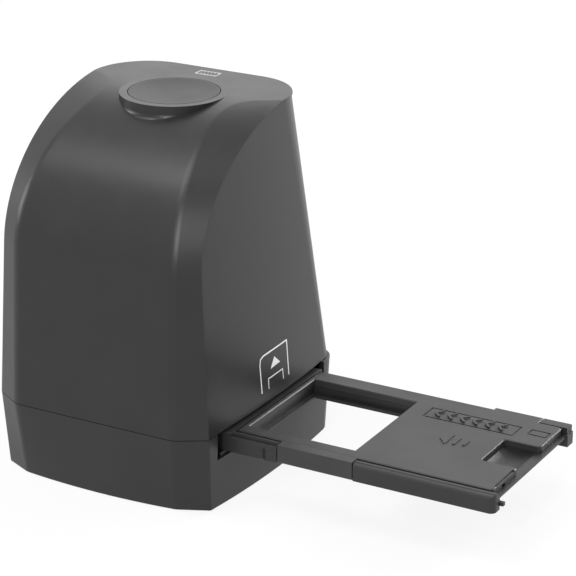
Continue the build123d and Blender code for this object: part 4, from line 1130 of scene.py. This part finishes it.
@dataclass
class TrayGuide(Assembly):
    """The guide that the tray slides in, with its two sprung detents."""

    coils: float = 7.0
    wire: float = 0.16 * MM
    wire_sides: int = 6
    steps: int = 16

    finishes: ClassVar[dict[str, Finish]] = {
        "tray_guide": BLACK,
        "front_detent_plunger": PALE_PLUNGER,
        "rear_detent_plunger": PALE_PLUNGER,
    }

    def add_details(self) -> None:
        """Wind the springs."""
        for end in ("front", "rear"):
            self.wind_spring(f"{end}_detent_spring", f"{end}_detent_coil")

    def wind_spring(self, node: str, name: str) -> None:
        """Wind a real coil in the place of a plain spring.

        Args:
            node: the CAD node that it stands for.
            name: the coil's name.
        """
        low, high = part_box(node)
        middle = (low + high) / 2
        radius = (high.x - low.x) / 2 - self.wire
        length = high.y - low.y - 2 * self.wire
        total = int(self.coils * self.steps)
        path = []
        for index in range(total + 1):
            share = index / total
            turn = 2 * math.pi * self.coils * share
            path.append(Vector((
                middle.x + radius * math.cos(turn),
                low.y + self.wire + length * share,
                middle.z + radius * math.sin(turn),
            )))
        shape = bmesh.new()
        add_tube(shape, path, self.wire, self.wire_sides)
        make_piece(name, shape, Body.CHASSIS, SPRING, stands_for=(node,))


@dataclass
class Optics(Assembly):
    """The film gate, the tower, the lens and the image sensor."""

    finishes: ClassVar[dict[str, Finish]] = {
        "film_gate": BLACK,
        "optics_tower": BLACK,
        "tower_screws": ZINC,
        "lens_holder": BLACK,
        "lens_holder_screws": ZINC,
        "lens_barrel": ANODISED,
        "front_lens": LENS,
        "rear_lens": LENS,
        "ir_filter": FILTER,
        "image_sensor": CERAMIC,
        "sensor_board": BOARD,
        "sensor_board_screws": ZINC,
    }


@dataclass
class Backlight(Assembly):
    """The light box, its board and its diffuser."""

    finishes: ClassVar[dict[str, Finish]] = {
        "light_box": REFLECTOR,
        "backlight_board": BOARD,
        "backlight_leds": PHOSPHOR,
        "diffuser": OPAL,
    }


@dataclass
class Electronics(Assembly):
    """The main board, the data socket and the flat cables."""

    contact_width: float = 1.0 * MM
    contact_gap: float = 1.5 * MM
    contact_height: float = 0.12 * MM
    contact_count: int = 3
    contact_rounding: float = 0.04 * MM
    contact_start: float = 6.2 * MM
    contact_end: float = 0.6 * MM
    tongue_rise: float = 1.6 * MM

    finishes: ClassVar[dict[str, Finish]] = {
        "main_board": BOARD,
        "main_board_screws": ZINC,
        "main_board_chips": EPOXY,
        "board_connectors": NYLON,
        "usb_shell": TIN,
        "usb_insulator": SOCKET,
        "sensor_cable": RIBBON,
        "button_cable": RIBBON,
        "backlight_cable": RIBBON,
    }

    def add_details(self) -> None:
        """Lay the gold contacts on the socket's tongue."""
        low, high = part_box("usb_insulator")
        middle = (low + high) / 2
        tongue_top = middle.z + self.tongue_rise
        shape = bmesh.new()
        for index in range(self.contact_count):
            x = middle.x + (index - (self.contact_count - 1) / 2) * self.contact_gap
            near = Vector((x - self.contact_width / 2, low.y + self.contact_start, tongue_top))
            far = Vector((
                x + self.contact_width / 2,
                high.y - self.contact_end,
                tongue_top + self.contact_height,
            ))
            add_box(shape, near, far, self.contact_rounding)
        make_piece("socket_contacts", shape, Body.CHASSIS, GOLD)


# ---------------------------------------------------------------- studio


def outward(turn: float, rise: float) -> Vector:
    """Find the direction from the object to something that stands or hangs round it.

    Args:
        turn: the degrees round from the front, towards the right.
        rise: the degrees up from level.

    Returns:
        The direction, with a length of one.
    """
    across, up = math.radians(turn), math.radians(rise)
    return Vector((
        math.sin(across) * math.cos(up), -math.cos(across) * math.cos(up), math.sin(up),
    ))


@dataclass(frozen=True)
class Softbox:
    """One soft lamp with a flat front. Its turn and rise are those of outward."""

    name: str
    turn: float
    rise: float
    width: float
    height: float
    power: float

    def build(self, aim: Vector, distance: float) -> None:
        """Hang the lamp.

        Args:
            aim: the point that it faces.
            distance: how far it hangs from that point.
        """
        place = aim + outward(self.turn, self.rise) * distance
        data = bpy.data.lights.new(self.name, "AREA")
        data.shape = "RECTANGLE"
        data.size = self.width
        data.size_y = self.height
        data.energy = self.power
        lamp = bpy.data.objects.new(self.name, data)
        bpy.context.scene.collection.objects.link(lamp)
        lamp.location = place
        lamp.rotation_mode = "QUATERNION"
        lamp.rotation_quaternion = (aim - place).to_track_quat("-Z", "Y")
        LOG.info("hung %s", self.name)


@dataclass
class Studio:
    """The floor, the lamps, the background and the camera."""

    camera_place: tuple[float, float, float] = (0.48727, -0.76875, 0.41743)
    azimuth: float = 29.374
    elevation: float = 21.072
    lens: float = 154.53
    sensor: float = 36.0
    clip_start: float = 0.01
    clip_end: float = 50.0
    floor_reach: float = 8.0
    floor_drop: float = 0.00002
    floor_colour: Colour = (0.93, 0.93, 0.93)
    floor_glow: float = 0.84
    ambient: float = 0.3
    lamp_aim: tuple[float, float, float] = (0.03, 0.0, 0.08)
    lamp_distance: float = 1.2
    lamps: tuple[Softbox, ...] = (
        Softbox("rear_right_softbox", 165, 15, 0.45, 0.45, 12.0),
        Softbox("side_softbox", 130, 40, 0.5, 0.5, 3.0),
        Softbox("left_softbox", -70, 15, 0.45, 0.45, 4.0),
        Softbox("front_strip", 14, 27, 0.2, 0.7, 8.0),
        Softbox("overhead_softbox", -45, 66, 0.6, 0.6, 6.0),
        Softbox("rear_softbox", -150, 30, 0.6, 0.6, 1.0),
    )

    def build(self) -> None:
        """Set up everything around the object."""
        self.paint_world()
        self.lay_floor()
        self.hang_lamps()
        self.place_camera()

    def seen_mask(self, tree: Tree) -> Socket:
        """Tell rays that see the background from rays that light the object.

        Args:
            tree: the tree that needs the mask.

        Returns:
            A socket that is 1 for camera, glossy and transmission rays.
        """
        rays = tree.add("ShaderNodeLightPath").outputs
        seen = tree.maths("MAXIMUM", rays["Is Camera Ray"], rays["Is Glossy Ray"])
        return tree.maths("MAXIMUM", seen, rays["Is Transmission Ray"])

    def paint_world(self) -> None:
        """Light the object evenly, with white where the background is seen."""
        world = bpy.data.worlds.new("studio_world")
        bpy.context.scene.world = world
        world.use_nodes = True
        world.node_tree.nodes.clear()
        tree = Tree(world.node_tree)
        strength = tree.spread(self.seen_mask(tree), 0.0, 1.0, self.ambient, 1.0)
        light = tree.add("ShaderNodeBackground", Color=WHITE, Strength=strength)
        output = tree.add("ShaderNodeOutputWorld")
        tree.feed(output.inputs["Surface"], light.outputs[0])

    def lay_floor(self) -> None:
        """Lay the pale floor."""
        shape = bmesh.new()
        reach = self.floor_reach
        corners = [shape.verts.new((x, y, -self.floor_drop)) for x, y in
                   ((-reach, -reach), (reach, -reach), (reach, reach), (-reach, reach))]
        shape.faces.new(corners)
        data = bpy.data.meshes.new("studio_floor")
        shape.to_mesh(data)
        shape.free()
        material = bpy.data.materials.new("studio floor")
        material.use_nodes = True
        material.node_tree.nodes.clear()
        tree = Tree(material.node_tree)
        paper = tree.add("ShaderNodeBsdfDiffuse", Color=self.floor_colour)
        glow = tree.add("ShaderNodeEmission", Color=WHITE, Strength=1.0)
        share = tree.maths("MULTIPLY", self.seen_mask(tree), self.floor_glow)
        blend = tree.add("ShaderNodeMixShader", Fac=share)
        tree.feed(blend.inputs[1], paper.outputs[0])
        tree.feed(blend.inputs[2], glow.outputs[0])
        output = tree.add("ShaderNodeOutputMaterial")
        tree.feed(output.inputs["Surface"], blend.outputs[0])
        data.materials.append(material)
        floor = bpy.data.objects.new("studio_floor", data)
        bpy.context.scene.collection.objects.link(floor)

    def hang_lamps(self) -> None:
        """Hang the soft lamps round the object."""
        for lamp in self.lamps:
            lamp.build(Vector(self.lamp_aim), self.lamp_distance)

    def place_camera(self) -> None:
        """Stand the camera where the photograph was taken from."""
        data = bpy.data.cameras.new("photograph_camera")
        data.lens = self.lens
        data.sensor_width = self.sensor
        data.clip_start = self.clip_start
        data.clip_end = self.clip_end
        camera = bpy.data.objects.new("photograph_camera", data)
        bpy.context.scene.collection.objects.link(camera)
        turn = math.radians(self.azimuth)
        right = Vector((math.cos(turn), math.sin(turn), 0.0))
        back = outward(self.azimuth, self.elevation)
        up = back.cross(right)
        rotation = Matrix((right, up, back)).transposed()
        camera.matrix_world = Matrix.Translation(Vector(self.camera_place)) @ rotation.to_4x4()
        bpy.context.scene.camera = camera


def main() -> None:
    """Build the dressed scanner and the studio around it."""
    logging.basicConfig(level=logging.INFO, format="%(name)s: %(message)s")
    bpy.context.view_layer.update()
    bpy.context.scene.view_settings.view_transform = "Standard"
    for assembly in (
        Studio(), Housing(), ScanButton(), FilmTray(),
        TrayGuide(), Optics(), Backlight(), Electronics(),
    ):
        LOG.info("building %s", type(assembly).__name__)
        assembly.build()


if __name__ == "__main__":
    main()
